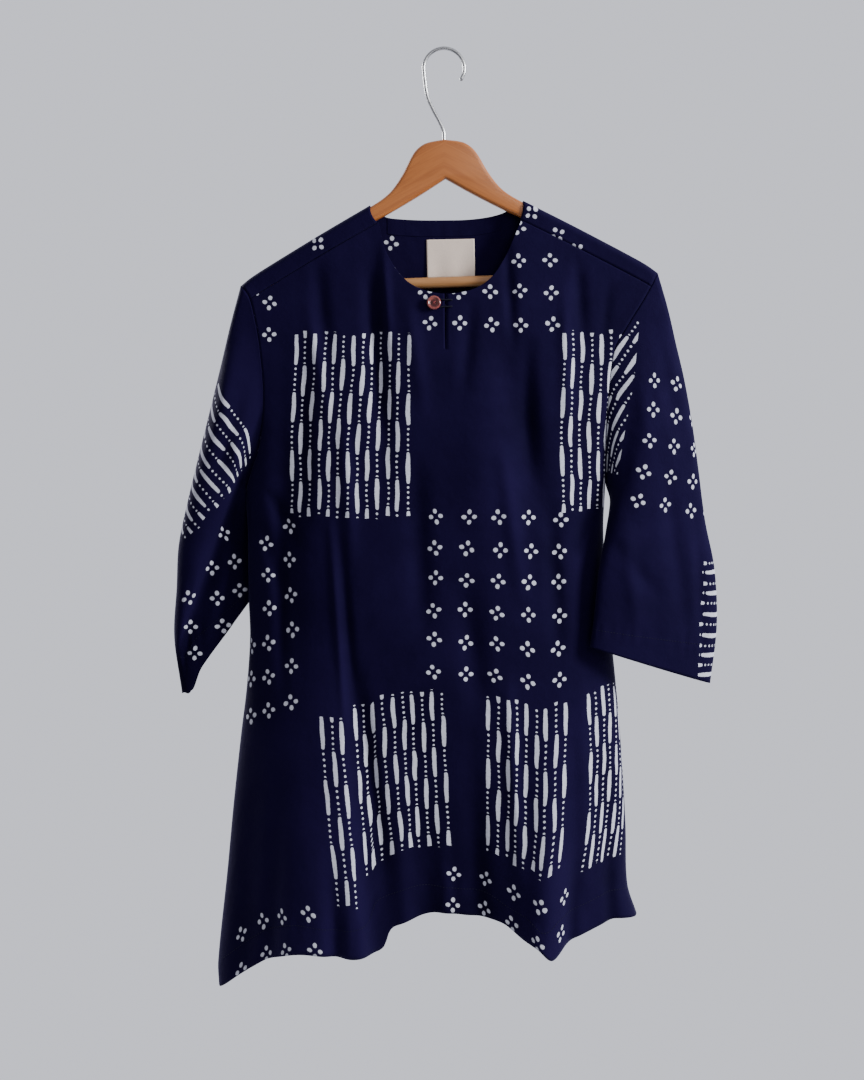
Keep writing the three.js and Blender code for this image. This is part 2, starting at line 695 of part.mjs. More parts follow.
// The back: two strips over the shoulders, then one panel from behind the ridge to the hem.
function buildBack() {
  const forward = armholeAngles.filter((angle) => angle > 0 && angle <= SEAM_FORWARD).reverse();
  const behind = armholeAngles.filter((angle) => angle <= ARMHOLE_STEP);
  const signedPoint = (side, drop, face) => {
    const x = side.xAt(drop);
    return { x, down: face * Math.max(0, belowRidge({ x, drop })) };
  };
  const strip = (side, neck) => {
    const edge = [
      ...forward.map((angle) => signedPoint(side, armholeDrop(side, angle), -1)),
      ...behind.map((angle) => signedPoint(side, armholeDrop(side, angle), 1)),
    ];
    return edge.map((point, row) => {
      const end = neckTurn(neck, row === 0 ? -NECK_SEAM_BELOW : point.down);
      const line = [];
      for (let column = 0; column <= SHOULDER_COLUMNS; column += 1) {
        line.push(blendPoints(point, end, column / SHOULDER_COLUMNS));
      }
      return line;
    });
  };
  const leftStrip = strip(left, LEFT_NECK);
  const rightStrip = strip(right, RIGHT_NECK).map((line) => line.reverse());
  const lastStrip = leftStrip.length - 1;
  const neck = BACK_NECK.map((row) => ({ x: row.x, down: belowRidge(row) }));
  const top = [...leftStrip[lastStrip], ...neck, ...rightStrip[lastStrip]];
  const hem = hemPoints(BACK_HEM, top.length - 1).map((p) => ({ x: p.x, down: belowRidge(p) }));
  const border = (side) => {
    const drops = [
      ...armholeAngles.filter((angle) => angle >= ARMHOLE_STEP).map((angle) => armholeDrop(side, angle)),
      ...sideSeamDrops(side),
    ];
    return drops.map((drop) => signedPoint(side, drop, 1));
  };
  const panel = fillGrid(top, hem, border(left), border(right));
  const gapRow = neck.map(() => null);
  const strips = leftStrip.slice(0, -1).map((line, row) => [...line, ...gapRow, ...rightStrip[row]]);
  const grid = [...strips, ...panel];
  const armpitRow = forward.length + armholeAngles.length - 1;
  const closedSides = grid.map((line, row) => row >= armpitRow);
  const wall = panelWall(grid, overShoulder, closedSides);
  return wallBody(wall.outer, wall.inner, false);
}

// ---- sleeves ----

function sleeveSection(rows) {
  const names = Object.keys(rows[0]).filter((name) => name !== 'at');
  const curves = Object.fromEntries(names.map((name) => [name, curveThrough(rows, 'at', name)]));
  return (share) => Object.fromEntries(names.map((name) => [name, curves[name](share)]));
}

// A point of a plain section: angle 0 is the outer fold line, 180 the inner one.
function sectionPoint(section, angle) {
  const c = Math.cos(degrees(angle));
  const s = Math.sin(degrees(angle));
  const t = (1 + c) / 2;
  const bulge = Math.sign(s) * Math.abs(s) ** SLEEVE_BLUNT * section.half;
  return new THREE.Vector3(
    blend(section.inX, section.outX, t),
    blend(section.inY, section.outY, t) - bulge,
    -blend(section.inDrop, section.outDrop, t),
  );
}

function armholePoint(side, angle) {
  const drop = armholeDrop(side, angle);
  const x = side.xAt(drop);
  const face = Math.sin(degrees(angle)) >= 0 ? -1 : 1;
  const middle = Math.abs(Math.sin(degrees(angle))) < 1e-9;
  return new THREE.Vector3(x, middle ? 0 : face * standOff(face, x, drop), -drop);
}

function creaseLift(crease, point) {
  const along = new THREE.Vector2(crease.x1 - crease.x0, crease.drop1 - crease.drop0).normalize();
  const from = new THREE.Vector2(point.x - crease.x0, -point.z - crease.drop0);
  const outside = from.x * along.y - from.y * along.x;
  return crease.out * 0.5 * (1 - Math.tanh(outside / crease.wide));
}

function buildSleeve(rows, side, crease) {
  const section = sleeveSection(rows);
  const outwards = Math.sign(side.tip);
  const angles = [...armholeAngles, ...armholeAngles.slice(1, -1).reverse().map((angle) => 360 - angle)];
  const bend = angles.map((angle) => armholePoint(side, angle).sub(sectionPoint(section(0), angle)));
  const outer = [];
  for (let ring = 0; ring <= SLEEVE_RINGS; ring += 1) {
    const share = ring / SLEEVE_RINGS;
    const keep = 1 - smooth(share / ARMHOLE_FADES);
    outer.push(angles.map((angle, i) => {
      const point = sectionPoint(section(share), angle).addScaledVector(bend[i], keep);
      point.x += outwards * SLEEVE_GAP * keep;
      if (crease && angle > 0 && angle < 180) {
        point.y -= creaseLift(crease, point) * Math.sin(degrees(angle)) * (1 - keep);
      }
      return point;
    }));
  }
  const count = angles.length;
  const inner = outer.map((ringPoints, ring) => ringPoints.map((point, i) => {
    const next = ringPoints[(i + 1) % count];
    const before = ringPoints[(i + count - 1) % count];
    const above = outer[Math.max(ring - 1, 0)][i];
    const below = outer[Math.min(ring + 1, SLEEVE_RINGS)][i];
    const normal = next.clone().sub(before).cross(below.clone().sub(above));
    normal.multiplyScalar(-outwards);
    if (ring === 0) {
      normal.x = 0;
    }
    return point.clone().addScaledVector(normal.normalize(), -CLOTH);
  }));
  return wallBody(outer, inner, true);
}

// ---- neck slit, facing, label, button ----

function asManifold(wasm, geometry) {
  const plain = geometry.clone();
  plain.deleteAttribute('normal');
  plain.deleteAttribute('uv');
  const merged = BufferGeometryUtils.mergeVertices(plain, 1e-4);
  return new wasm.Manifold(new wasm.Mesh({
    numProp: 3,
    vertProperties: merged.getAttribute('position').array,
    triVerts: new Uint32Array(merged.getIndex().array),
  }));
}

function asGeometry(solid) {
  const mesh = solid.getMesh();
  const geometry = new THREE.BufferGeometry();
  geometry.setAttribute('position', new THREE.Float32BufferAttribute(Array.from(mesh.vertProperties), 3));
  geometry.setIndex(Array.from(mesh.triVerts));
  geometry.computeVertexNormals();
  return geometry;
}

// The slit is a slim wedge, open at the neckline and pointed at its foot.
function slitCutter() {
  const shape = new THREE.Shape();
  shape.moveTo(SLIT.x - SLIT.wide / 2, -SLIT.top);
  shape.lineTo(SLIT.x - SLIT.footWide / 2, -SLIT.foot);
  shape.lineTo(SLIT.x + SLIT.footWide / 2, -SLIT.foot);
  shape.lineTo(SLIT.x + SLIT.wide / 2, -SLIT.top);
  shape.closePath();
  const geometry = new THREE.ExtrudeGeometry(shape, { depth: SLIT.cutDeep, bevelEnabled: false });
  geometry.rotateX(Math.PI / 2);
  return geometry;
}

// A patch on the inner face of the back, "lift" clear of it.
function insideBack(x, drop, lift) {
  const below = drop - ridgeDrop(x);
  const normal = outward(overShoulder, x, below, left.tip, right.tip);
  return overShoulder(x, below).addScaledVector(normal, -(CLOTH + lift));
}

function buildFacing() {
  const edgeDrop = curveThrough(BACK_NECK, 'x', 'drop');
  const [from, to] = [BACK_NECK[1].x, BACK_NECK[BACK_NECK.length - 2].x];
  const { columns, rows } = FACING_GRID;
  const outer = [];
  const inner = [];
  for (let row = 0; row <= rows; row += 1) {
    const lines = [outer, inner].map(() => []);
    for (let column = 0; column <= columns; column += 1) {
      const x = blend(from, to, column / columns);
      const drop = edgeDrop(x) + FACING_BELOW_EDGE + FACING_DEEP * row / rows;
      lines[0].push(insideBack(x, drop, SEAM_GAP));
      lines[1].push(insideBack(x, drop, SEAM_GAP + FACING_WALL));
    }
    outer.push(lines[0]);
    inner.push(lines[1]);
  }
  return wallBody(outer, inner, false);
}

function buildLabel() {
  const turn = degrees(LABEL.turn);
  const { columns, rows } = LABEL_GRID;
  const outer = [];
  const inner = [];
  for (let row = 0; row <= rows; row += 1) {
    const lines = [outer, inner].map(() => []);
    for (let column = 0; column <= columns; column += 1) {
      const across = LABEL.wide * (column / columns - 0.5);
      const down = LABEL.high * row / rows;
      const x = LABEL.x + across * Math.cos(turn) - down * Math.sin(turn);
      const drop = LABEL.drop + across * Math.sin(turn) + down * Math.cos(turn);
      lines[0].push(insideBack(x, drop, SEAM_GAP));
      lines[1].push(insideBack(x, drop, SEAM_GAP + LABEL.wall));
    }
    outer.push(lines[0]);
    inner.push(lines[1]);
  }
  return wallBody(outer, inner, false);
}

function frontNormal(x, drop) {
  return outward(onFront, x, -drop, left.tip, right.tip);
}

// The profile is turned about the button's own axis.
function buildButton() {
  const profile = BUTTON_PROFILE.map(([radius, height]) => new THREE.Vector2(radius, height));
  const geometry = new THREE.LatheGeometry(profile, BUTTON_TURNS);
  const normal = frontNormal(BUTTON_AT.x, BUTTON_AT.drop);
  const seat = onFront(BUTTON_AT.x, -BUTTON_AT.drop).addScaledVector(normal, SEAM_GAP);
  const mesh = addPiece('button', geometry, material(COLOURS.button, 0.3));
  mesh.quaternion.setFromUnitVectors(new THREE.Vector3(0, 1, 0), normal);
  mesh.position.copy(seat);
}

// The loop leaves the slit's right edge, passes round the button's shank and comes back.
function buildLoop() {
  const ends = SLIT.x + LOOP.inset;
  const points = [];
  const lay = (x, drop) => {
    const normal = frontNormal(x, drop);
    points.push(onFront(x, -drop).addScaledVector(normal, LOOP_CORD + SEAM_GAP));
  };
  lay(ends, BUTTON_AT.drop - LOOP.tail);
  lay(SLIT.x, BUTTON_AT.drop - LOOP.mouth);
  for (let angle = 60; angle <= 300; angle += 30) {
    const turn = degrees(angle);
    lay(BUTTON_AT.x + LOOP.reach * Math.cos(turn), BUTTON_AT.drop - LOOP.reach * Math.sin(turn));
  }
  lay(SLIT.x, BUTTON_AT.drop + LOOP.mouth);
  lay(ends, BUTTON_AT.drop + LOOP.tail);
  return wireAlong(points, LOOP_CORD, LOOP.sides, LOOP.steps);
}

function wireAlong(points, radius, sides, steps) {
  const section = new THREE.Shape();
  for (let i = 0; i < sides; i += 1) {
    const turn = 2 * Math.PI * i / sides;
    const place = [radius * Math.cos(turn), radius * Math.sin(turn)];
    if (i === 0) {
      section.moveTo(...place);
    } else {
      section.lineTo(...place);
    }
  }
  section.closePath();
  const path = new THREE.CatmullRomCurve3(points);
  return new THREE.ExtrudeGeometry(section, { steps, bevelEnabled: false, extrudePath: path });
}

// ---- the hanger ----

function armOutline() {
  const arms = SHOULDER_RIDGE.filter((row) => row.out <= ARM_END);
  const topRows = [...CROWN_TOP, ...arms.map((row) => ({ out: row.out, drop: row.drop + ARM_UNDER_CLOTH }))];
  const topAt = curveThrough(topRows, 'out', 'drop');
  const underAt = curveThrough(ARM_UNDERSIDE, 'out', 'drop');
  const half = [];
  for (let i = 0; i <= ARM_STEPS.top; i += 1) {
    const out = ARM_END * i / ARM_STEPS.top;
    half.push([out, topAt(out)]);
  }
  [...ARM_TOE].reverse().forEach((row) => half.push([row.out, row.drop]));
  const under = ARM_UNDERSIDE[ARM_UNDERSIDE.length - 1].out;
  for (let i = ARM_STEPS.underside; i >= 0; i -= 1) {
    const out = under * i / ARM_STEPS.underside;
    half.push([out, underAt(out)]);
  }
  const mirrored = half.slice(1, -1).reverse().map(([out, drop]) => [-out, drop]);
  return [...half, ...mirrored];
}

// The outline is drawn in by the rounding, which the bevel gives back.
function buildArms() {
  const shape = new THREE.Shape();
  armOutline().forEach(([x, drop], i) => {
    const place = tilted(x, drop);
    if (i === 0) {
      shape.moveTo(place.x, -place.drop);
    } else {
      shape.lineTo(place.x, -place.drop);
    }
  });
  shape.closePath();
  const geometry = new THREE.ExtrudeGeometry(shape, {
    depth: 2 * (ARM_HALF_THICK - ARM_ROUNDING),
    bevelEnabled: true,
    bevelThickness: ARM_ROUNDING,
    bevelSize: ARM_ROUNDING,
    bevelOffset: -ARM_ROUNDING,
    bevelSegments: 2,
  });
  geometry.rotateX(Math.PI / 2);
  geometry.translate(0, ARM_HALF_THICK - ARM_ROUNDING, 0);
  return geometry;
}

function buildBar() {
  const geometry = new THREE.CylinderGeometry(BAR_RADIUS, BAR_RADIUS, 2 * BAR_HALF_LENGTH, BAR_SIDES);
  geometry.rotateZ(Math.PI / 2);
  geometry.rotateY(-tilt);
  const place = tilted(0, BAR_DROP);
  geometry.translate(place.x, 0, -place.drop);
  return geometry;
}

function buildHook() {
  const points = HOOK_STEM.map((row) => new THREE.Vector3(row.x, 0, -row.drop));
  const centreDrop = HOOK_RADIUS - WIRE_RADIUS;
  for (let i = 0; i <= HOOK_BEND.points; i += 1) {
    const turn = degrees(blend(HOOK_BEND.start, HOOK_BEND.tip, i / HOOK_BEND.points));
    const height = HOOK_RADIUS * Math.sin(turn) - centreDrop;
    points.push(new THREE.Vector3(HOOK_RADIUS * Math.cos(turn), 0, height));
  }
  return wireAlong(points, WIRE_RADIUS, HOOK_WIRE.sides, HOOK_WIRE.steps);
}

// ---- the whole garment ----

const cotton = material(COLOURS.cloth, 0.85);

const wasm = await Module();
wasm.setup();
const frontWithSlit = asManifold(wasm, buildFront()).subtract(asManifold(wasm, slitCutter()));
addPiece('front', asGeometry(frontWithSlit), cotton);
addPiece('back', buildBack(), cotton.clone());
addPiece('sleeve_left', buildSleeve(LEFT_SLEEVE, left, LEFT_CREASE), cotton.clone());
addPiece('sleeve_right', buildSleeve(RIGHT_SLEEVE, right, null), cotton.clone());
addPiece('back_neck_facing', buildFacing(), material(COLOURS.facing, 0.85));
addPiece('neck_label', buildLabel(), material(COLOURS.label, 0.7));
buildButton();
addPiece('button_loop', buildLoop(), material(COLOURS.cloth, 0.8));
addPiece('hanger_arms', buildArms(), material(COLOURS.wood, 0.45));
addPiece('hanger_bar', buildBar(), material(COLOURS.bar, 0.5));
addPiece('hanger_hook', buildHook(), material(COLOURS.steel, 0.3, 1));

export default kurta;
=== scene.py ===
"""Batik kurta on a wooden hanger: printed cotton, sewing, button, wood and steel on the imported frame.

Lengths in the tables are millimetres in the row frame: x to the right, "drop" down from the
underside of the hook's bend. Meshes are made in metres.
"""

import math

import bmesh
import bpy
import numpy as np
from mathutils import Matrix, Vector


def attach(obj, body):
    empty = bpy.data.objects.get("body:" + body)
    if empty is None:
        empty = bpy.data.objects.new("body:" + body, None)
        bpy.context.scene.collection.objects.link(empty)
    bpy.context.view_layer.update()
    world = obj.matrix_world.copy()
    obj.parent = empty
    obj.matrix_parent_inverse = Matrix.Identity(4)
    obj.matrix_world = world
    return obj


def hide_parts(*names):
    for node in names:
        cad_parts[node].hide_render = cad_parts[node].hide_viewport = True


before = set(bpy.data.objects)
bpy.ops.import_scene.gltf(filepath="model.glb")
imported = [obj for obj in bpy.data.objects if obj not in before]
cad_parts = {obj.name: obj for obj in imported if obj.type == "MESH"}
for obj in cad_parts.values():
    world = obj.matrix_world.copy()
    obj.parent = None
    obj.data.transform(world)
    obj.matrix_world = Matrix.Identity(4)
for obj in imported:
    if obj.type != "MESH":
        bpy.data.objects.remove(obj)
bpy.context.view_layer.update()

MM = 0.001
WALL = 1.2          # thickness of the cotton
SEAM_GAP = 0.35
SLEEVE_GAP = 0.5
SHOULDER_BEND = 8.0
SEAM_FORWARD = 30.0
HEM_TURN = 29.0     # depth of the turned-up hems

# ---------------------------------------------------------------- the garment's form

CROWN_DROP = 97.0
TILT = math.radians(1.9)
SHOULDER_RIDGE = [
    (82, 165), (125, 188.3), (162, 209), (203, 232.6), (215, 240.2), (225, 248), (240, 261),
]
NECK_SLOPE = 0.56

LEFT_EDGE = {"tip": -219, "armpit": 475, "rows": [
    (266, -210), (286, -204), (324, -197), (378, -193), (425, -198), (460, -209), (475, -213.5),
    (520, -212), (591, -211), (633, -209.5), (687, -213), (737, -219), (811, -227), (886, -234),
    (984, -244), (1009, -243)]}
RIGHT_EDGE = {"tip": 230, "armpit": 470, "rows": [
    (256, 222), (270, 214), (297, 197), (324, 182), (378, 175), (425, 173.5), (470, 174), (515, 172),
    (594, 175), (649, 182), (737, 190), (836, 196), (900, 198), (932, 208)]}
FRONT_HEM = [
    (-243, 1009), (-219, 988), (-188, 964), (-155, 952), (-110, 957), (-87, 955), (-78, 950), (-73, 935),
    (-66, 929), (-30, 918), (15, 921), (45, 925), (68, 938), (86, 946), (103, 958), (121, 947),
    (146, 938), (178, 929), (208, 932),
]
BACK_HEM = [
    (-243, 1009), (-200, 975), (-150, 950), (-90, 938), (-20, 930), (60, 930), (120, 938), (170, 930),
    (208, 932),
]
NECK_SEAM_BELOW = 23.5
LEFT_NECK = (-80, 8)
RIGHT_NECK = (85.5, -4)
BACK_NECK = [
    (-72, 174.5), (-62, 180), (-46, 182), (-24, 183), (0, 183), (24, 182.5), (46, 180), (62, 176),
    (75, 170),
]
FRONT_NECK = [(-63.5, 221), (-43, 250), (-15, 263), (15, 263), (42, 252), (62, 227)]
FRONT_DEPTH = [(160, 8), (266, 25), (350, 35), (480, 42), (750, 47), (1010, 54)]
BACK_DEPTH = [(160, 8), (266, 17), (350, 25), (480, 34), (750, 42), (1010, 50)]
DEPTH_GROWTH = 110.0
ARMHOLE_OPEN = 18.0
ARMHOLE_CLOSES = 0.6
ROUND_SIDES = 3
CREASE_HEIGHT = 2.0      # what the tables' fine creases are multiplied by
CREASES_SETTLE = 30.0    # how far below the shoulder they reach their full height
PRINT_SQUEEZE = 0.5      # how much more the low folds draw the print together
SQUEEZE_FROM, SQUEEZE_OVER = 700.0, 200.0
ROWS_FOLLOW_HEM = 0.9
FOLLOW_FROM, HEM_LEVEL = 540.0, 935.0
SLIT = {"x": 1.0, "top": 262, "foot": 324.0, "wide": 1.6}

# Folds: x0, drop0, x1, drop1, half width, height (furrows below zero), runs to the hem
FRONT_FOLDS = [
    (-177, 290, -160, 680, 15, -9, 0), (-78, 195, -62, 500, 13, -5, 0), (62, 300, 106, 520, 17, -7, 0),
    (26, 300, 60, 640, 26, 4, 0), (150, 300, 150, 640, 12, -5, 0), (-140, 600, -150, 1010, 48, 15, 1),
    (-200, 620, -214, 1010, 18, -9, 1), (-10, 640, -12, 980, 52, -15, 1), (124, 640, 102, 970, 27, 26, 1),
    (146, 670, 152, 920, 9, 4, 0),
]
FRONT_CREASES = [
    (-138, 216, -124, 345, 8, -2.2, 0), (-150, 262, -118, 420, 7, 1.6, 0),
    (-66, 205, -58, 330, 6, 1.8, 0), (66, 196, 74, 330, 6, -1.8, 0), (143, 222, 150, 330, 7, -2.4, 0),
    (178, 246, 168, 352, 6, -2, 0), (-40, 262, -20, 400, 9, 1.4, 0), (30, 268, 20, 380, 8, -1.6, 0),
    (-108, 380, -96, 560, 8, 1.8, 0), (-30, 430, -22, 640, 12, -2.4, 0), (60, 420, 84, 600, 10, 2.2, 0),
    (112, 480, 122, 660, 9, -2.4, 0), (-190, 470, -150, 540, 7, -3, 0),
    (-198, 500, -168, 590, 8, -2.6, 0), (168, 470, 132, 552, 8, -2.6, 0), (-96, 640, -60, 900, 9, -3, 0),
    (-52, 700, -38, 960, 12, 3, 1), (26, 690, 38, 930, 12, -3.4, 1), (66, 660, 80, 900, 8, 2.4, 0),
    (170, 700, 178, 930, 8, -3.4, 1), (-172, 720, -186, 1000, 11, -3.6, 1),
    (-120, 820, -112, 960, 10, -4, 1), (-6, 780, 2, 925, 9, 2.2, 1), (140, 820, 132, 945, 7, -3, 1),
    (-122, 488, -102, 740, 4.5, 1.9, 0), (-111, 500, -92, 730, 5, -1.6, 0),
    (-152, 300, -148, 520, 10, -3.4, 0), (-176, 470, -170, 700, 7, -3.2, 0),
    (20, 560, 40, 720, 14, -2.6, 0), (88, 300, 92, 470, 9, -2.6, 0), (-80, 230, -66, 420, 9, -2.6, 0),
    (128, 250, 132, 420, 7, 2.2, 0),
]
BACK_FOLDS = [
    (-60, 260, -44, 560, 20, -6, 0), (96, 280, 84, 620, 18, -7, 0), (-128, 560, -150, 1000, 30, 20, 1),
    (-66, 520, -72, 970, 24, -14, 1), (4, 600, 8, 960, 28, 14, 1), (70, 560, 74, 960, 22, -13, 1),
    (118, 580, 136, 960, 26, 16, 1),
]
BACK_CREASES = [
    (-120, 240, -104, 400, 9, 2, 0), (40, 230, 48, 380, 10, -2.2, 0), (140, 260, 128, 430, 8, 2, 0),
    (-20, 340, -8, 560, 12, 2.4, 0), (-150, 420, -138, 640, 9, -2.6, 0), (150, 470, 158, 700, 8, -2.6, 0),
    (-98, 640, -104, 960, 10, 3, 1), (36, 620, 40, 930, 10, 3, 1), (-190, 640, -204, 990, 10, -3.6, 1),
    (174, 680, 184, 930, 9, 3, 1), (-34, 700, -36, 930, 9, -3.2, 1), (98, 720, 104, 935, 8, -3, 1),
]
FRONT_STEP = (-124, 500, -77, 975, 7, 17, 120)

# Sleeves: share of the length, outer fold line x, drop, y, inner fold line x, drop, y, half thickness
LEFT_SLEEVE = [
    (0, -219, 253, 0, -214, 475, 0, 18), (0.1, -230, 295, 0, -215.5, 479, 4, 19),
    (0.22, -241, 343, 0, -211, 490, 10, 19), (0.34, -253, 392, 0, -208, 505, 15, 18),
    (0.46, -265, 440, 0, -206.5, 521, 18, 17), (0.58, -276.5, 487, 1, -206, 536, 19, 16),
    (0.7, -286.5, 535, 2, -208, 551, 19, 15), (0.8, -289, 580, 4, -208, 563, 19, 14),
    (0.9, -292, 634, 6, -208, 577, 19, 13), (1, -284, 695, 8, -208, 592, 19, 12),
]
RIGHT_SLEEVE = [
    (0, 230, 242, 0, 174.5, 470, 0, 18), (0.1, 241, 280, -1, 178, 484, -8, 19),
    (0.22, 250, 318, -2, 176.5, 498, -15, 19), (0.34, 258.5, 355, -3, 173.5, 512, -20, 18),
    (0.46, 266.5, 400, -4, 170.5, 527, -24, 17), (0.58, 273, 448, -5, 167, 543, -27, 16),
    (0.7, 280.5, 507, -6, 163.5, 562, -30, 15), (0.8, 290.5, 560, -8, 161, 583, -32, 14),
    (0.9, 292.5, 620, -10, 158, 610, -34, 13), (1, 285, 681, -12, 154, 638, -36, 12),
]
SLEEVE_BLUNT = 0.7
ARMHOLE_FADES = 0.25
BLUNT_AT, BLUNT_WIDE = 0.87, 0.08
LEFT_CREASE = (-222, 462, -268, 592, 3, 13)
LEFT_SLEEVE_FOLDS = [
    (-214, 300, -262, 470, 8, 2.4), (-206, 350, -246, 470, 7, -2.6), (-250, 330, -276, 470, 6, -2),
    (-228, 470, -278, 640, 9, -4), (-222, 520, -262, 660, 8, 3), (-270, 560, -284, 680, 5, -2.4),
    (-206, 420, -232, 452, 7, 2.6),
]
RIGHT_SLEEVE_FOLDS = [
    (222, 268, 250, 420, 9, -2.6), (206, 296, 214, 440, 8, 2.4), (196, 360, 186, 500, 9, -3),
    (254, 350, 286, 560, 7, 2.2), (232, 430, 262, 660, 10, -3), (188, 500, 206, 640, 9, 2.6),
    (168, 520, 240, 600, 9, -2), (270, 500, 276, 668, 6, -2.4),
]


def blend(a, b, t):
    return a + (b - a) * t


def smooth(t):
    s = np.clip(t, 0, 1)
    return s * s * (3 - 2 * s)


def curve(rows, a=0, b=1):
    """A smooth function through a table's rows, from column a to column b."""
    xs = np.array([row[a] for row in rows], float)
    ys = np.array([row[b] for row in rows], float)
    before = np.maximum(np.arange(len(xs)) - 1, 0)
    after = np.minimum(np.arange(len(xs)) + 1, len(xs) - 1)
    slopes = (ys[after] - ys[before]) / (xs[after] - xs[before])

    def at(value):
        value = np.asarray(value, float)
        i = np.searchsorted(xs[1:-1], value, side="left")
        span = xs[i + 1] - xs[i]
        t = np.clip((value - xs[i]) / span, 0, 1)
        here = (1 + 2 * t) * (1 - t) ** 2 * ys[i] + t * (1 - t) ** 2 * span * slopes[i]
        return here + t * t * (3 - 2 * t) * ys[i + 1] + t * t * (t - 1) * span * slopes[i + 1]

    return at


def resampled(points, count):
    """count + 1 evenly spaced points on a smooth line through the given ones."""
    p = np.array(points, float)
    p = np.vstack([2 * p[0] - p[1], p, 2 * p[-1] - p[-2]])
    dense = []
    for i in range(1, len(p) - 2):
        for t in np.arange(0, 1, 0.02):
            a, b, c, d = p[i - 1], p[i], p[i + 1], p[i + 2]
            dense.append(0.5 * (2 * b + (c - a) * t + (2 * a - 5 * b + 4 * c - d) * t * t
                                + (3 * b - a - 3 * c + d) * t ** 3))
    dense = np.array(dense + [p[-2]])
    run = np.concatenate([[0], np.cumsum(np.linalg.norm(np.diff(dense, axis=0), axis=1))])
    want = np.linspace(0, run[-1], count + 1)
    return np.stack([np.interp(want, run, dense[:, k]) for k in range(dense.shape[1])], axis=1)


def tilted(x, drop):
    below = drop - CROWN_DROP
    return (x * math.cos(TILT) + below * math.sin(TILT),
            CROWN_DROP - x * math.sin(TILT) + below * math.cos(TILT))


arm_ridge = curve(SHOULDER_RIDGE)


def upright_ridge(out):
    inward = np.maximum(SHOULDER_RIDGE[0][0] - out, 0)
    arch = SHOULDER_RIDGE[0][1] - NECK_SLOPE * inward + NECK_SLOPE * inward ** 2 / (2 * SHOULDER_RIDGE[0][0])
    return np.where(out >= SHOULDER_RIDGE[0][0], arm_ridge(out), arch)


ridge_drop = curve([tilted(x, float(upright_ridge(abs(x)))) for x in np.arange(-240, 241, 6.0)])


def side_outline(edge):
    tip_drop = float(ridge_drop(edge["tip"]))
    rows = [(tip_drop, edge["tip"])] + edge["rows"]
    return {"tip": edge["tip"], "armpit": edge["armpit"], "tip_drop": tip_drop,
            "x_at": curve(rows), "foot": rows[-1][0]}


LEFT, RIGHT = side_outline(LEFT_EDGE), side_outline(RIGHT_EDGE)
front_depth, back_depth = curve(FRONT_DEPTH), curve(BACK_DEPTH)
hem_at = {-1: curve(FRONT_HEM), 1: curve(BACK_HEM)}


def armhole_share(side, drop):
    return (drop - side["tip_drop"]) / (side["armpit"] - side["tip_drop"])


def side_depth(side, drop):
    share = armhole_share(side, drop)
    opened = SHOULDER_BEND + (ARMHOLE_OPEN - SHOULDER_BEND) * np.sin(np.pi * np.clip(share, 0, 1))
    past = np.clip((share - ARMHOLE_CLOSES) / (1 - ARMHOLE_CLOSES), 0, 1)
    return np.maximum(opened * np.sqrt(1 - past * past), SEAM_GAP / 2)


def folds(table, x, drop):
    total = np.zeros(np.broadcast(x, drop).shape)
    for x0, drop0, x1, drop1, wide, out, to_hem in table:
        t = (drop - drop0) / (drop1 - drop0)
        strength = smooth(t) if to_hem else np.sin(np.pi * np.clip(t, 0, 1))
        away = (x - blend(x0, x1, t)) / wide
        total = total + out * strength * np.exp(-away * away)
    return total


def front_step(x, drop):
    x0, drop0, x1, drop1, wide, out, reach = FRONT_STEP
    t = (drop - drop0) / (drop1 - drop0)
    away = x - blend(x0, x1, t)
    return out * smooth(t) * 0.5 * (1 - np.tanh(away / wide)) * np.exp(-np.maximum(0, -away) / reach)


def puckers(run, above_edge, line):
    """Small waves that a stitched hem draws into the cloth on both sides of its stitch line."""
    wave = np.sin(run / 2.9 + 1.7 * np.sin(run / 13.0)) + 0.6 * np.sin(run / 6.7 + 2)
    near = np.exp(-((above_edge - line) / 11.0) ** 2)
    return 0.3 * wave * near + 0.45 * smooth((line + 1.5 - above_edge) / 2.5)


def relief(face, x, drop):
    """Folds and creases of a panel: their height, and that of the fine ones."""
    if face < 0:
        return folds(FRONT_FOLDS, x, drop) + front_step(x, drop), folds(FRONT_CREASES, x, drop)
    return folds(BACK_FOLDS, x, drop), folds(BACK_CREASES, x, drop)


def fold_shade_paint(face, x, drop):
    """Painted shade and light from the folds' heights: darker in the furrows, lighter on what stands proud.
    """
    main, fine = relief(face, x, drop)
    return np.clip(0.5 + main / 26 + fine / 7, 0, 1)


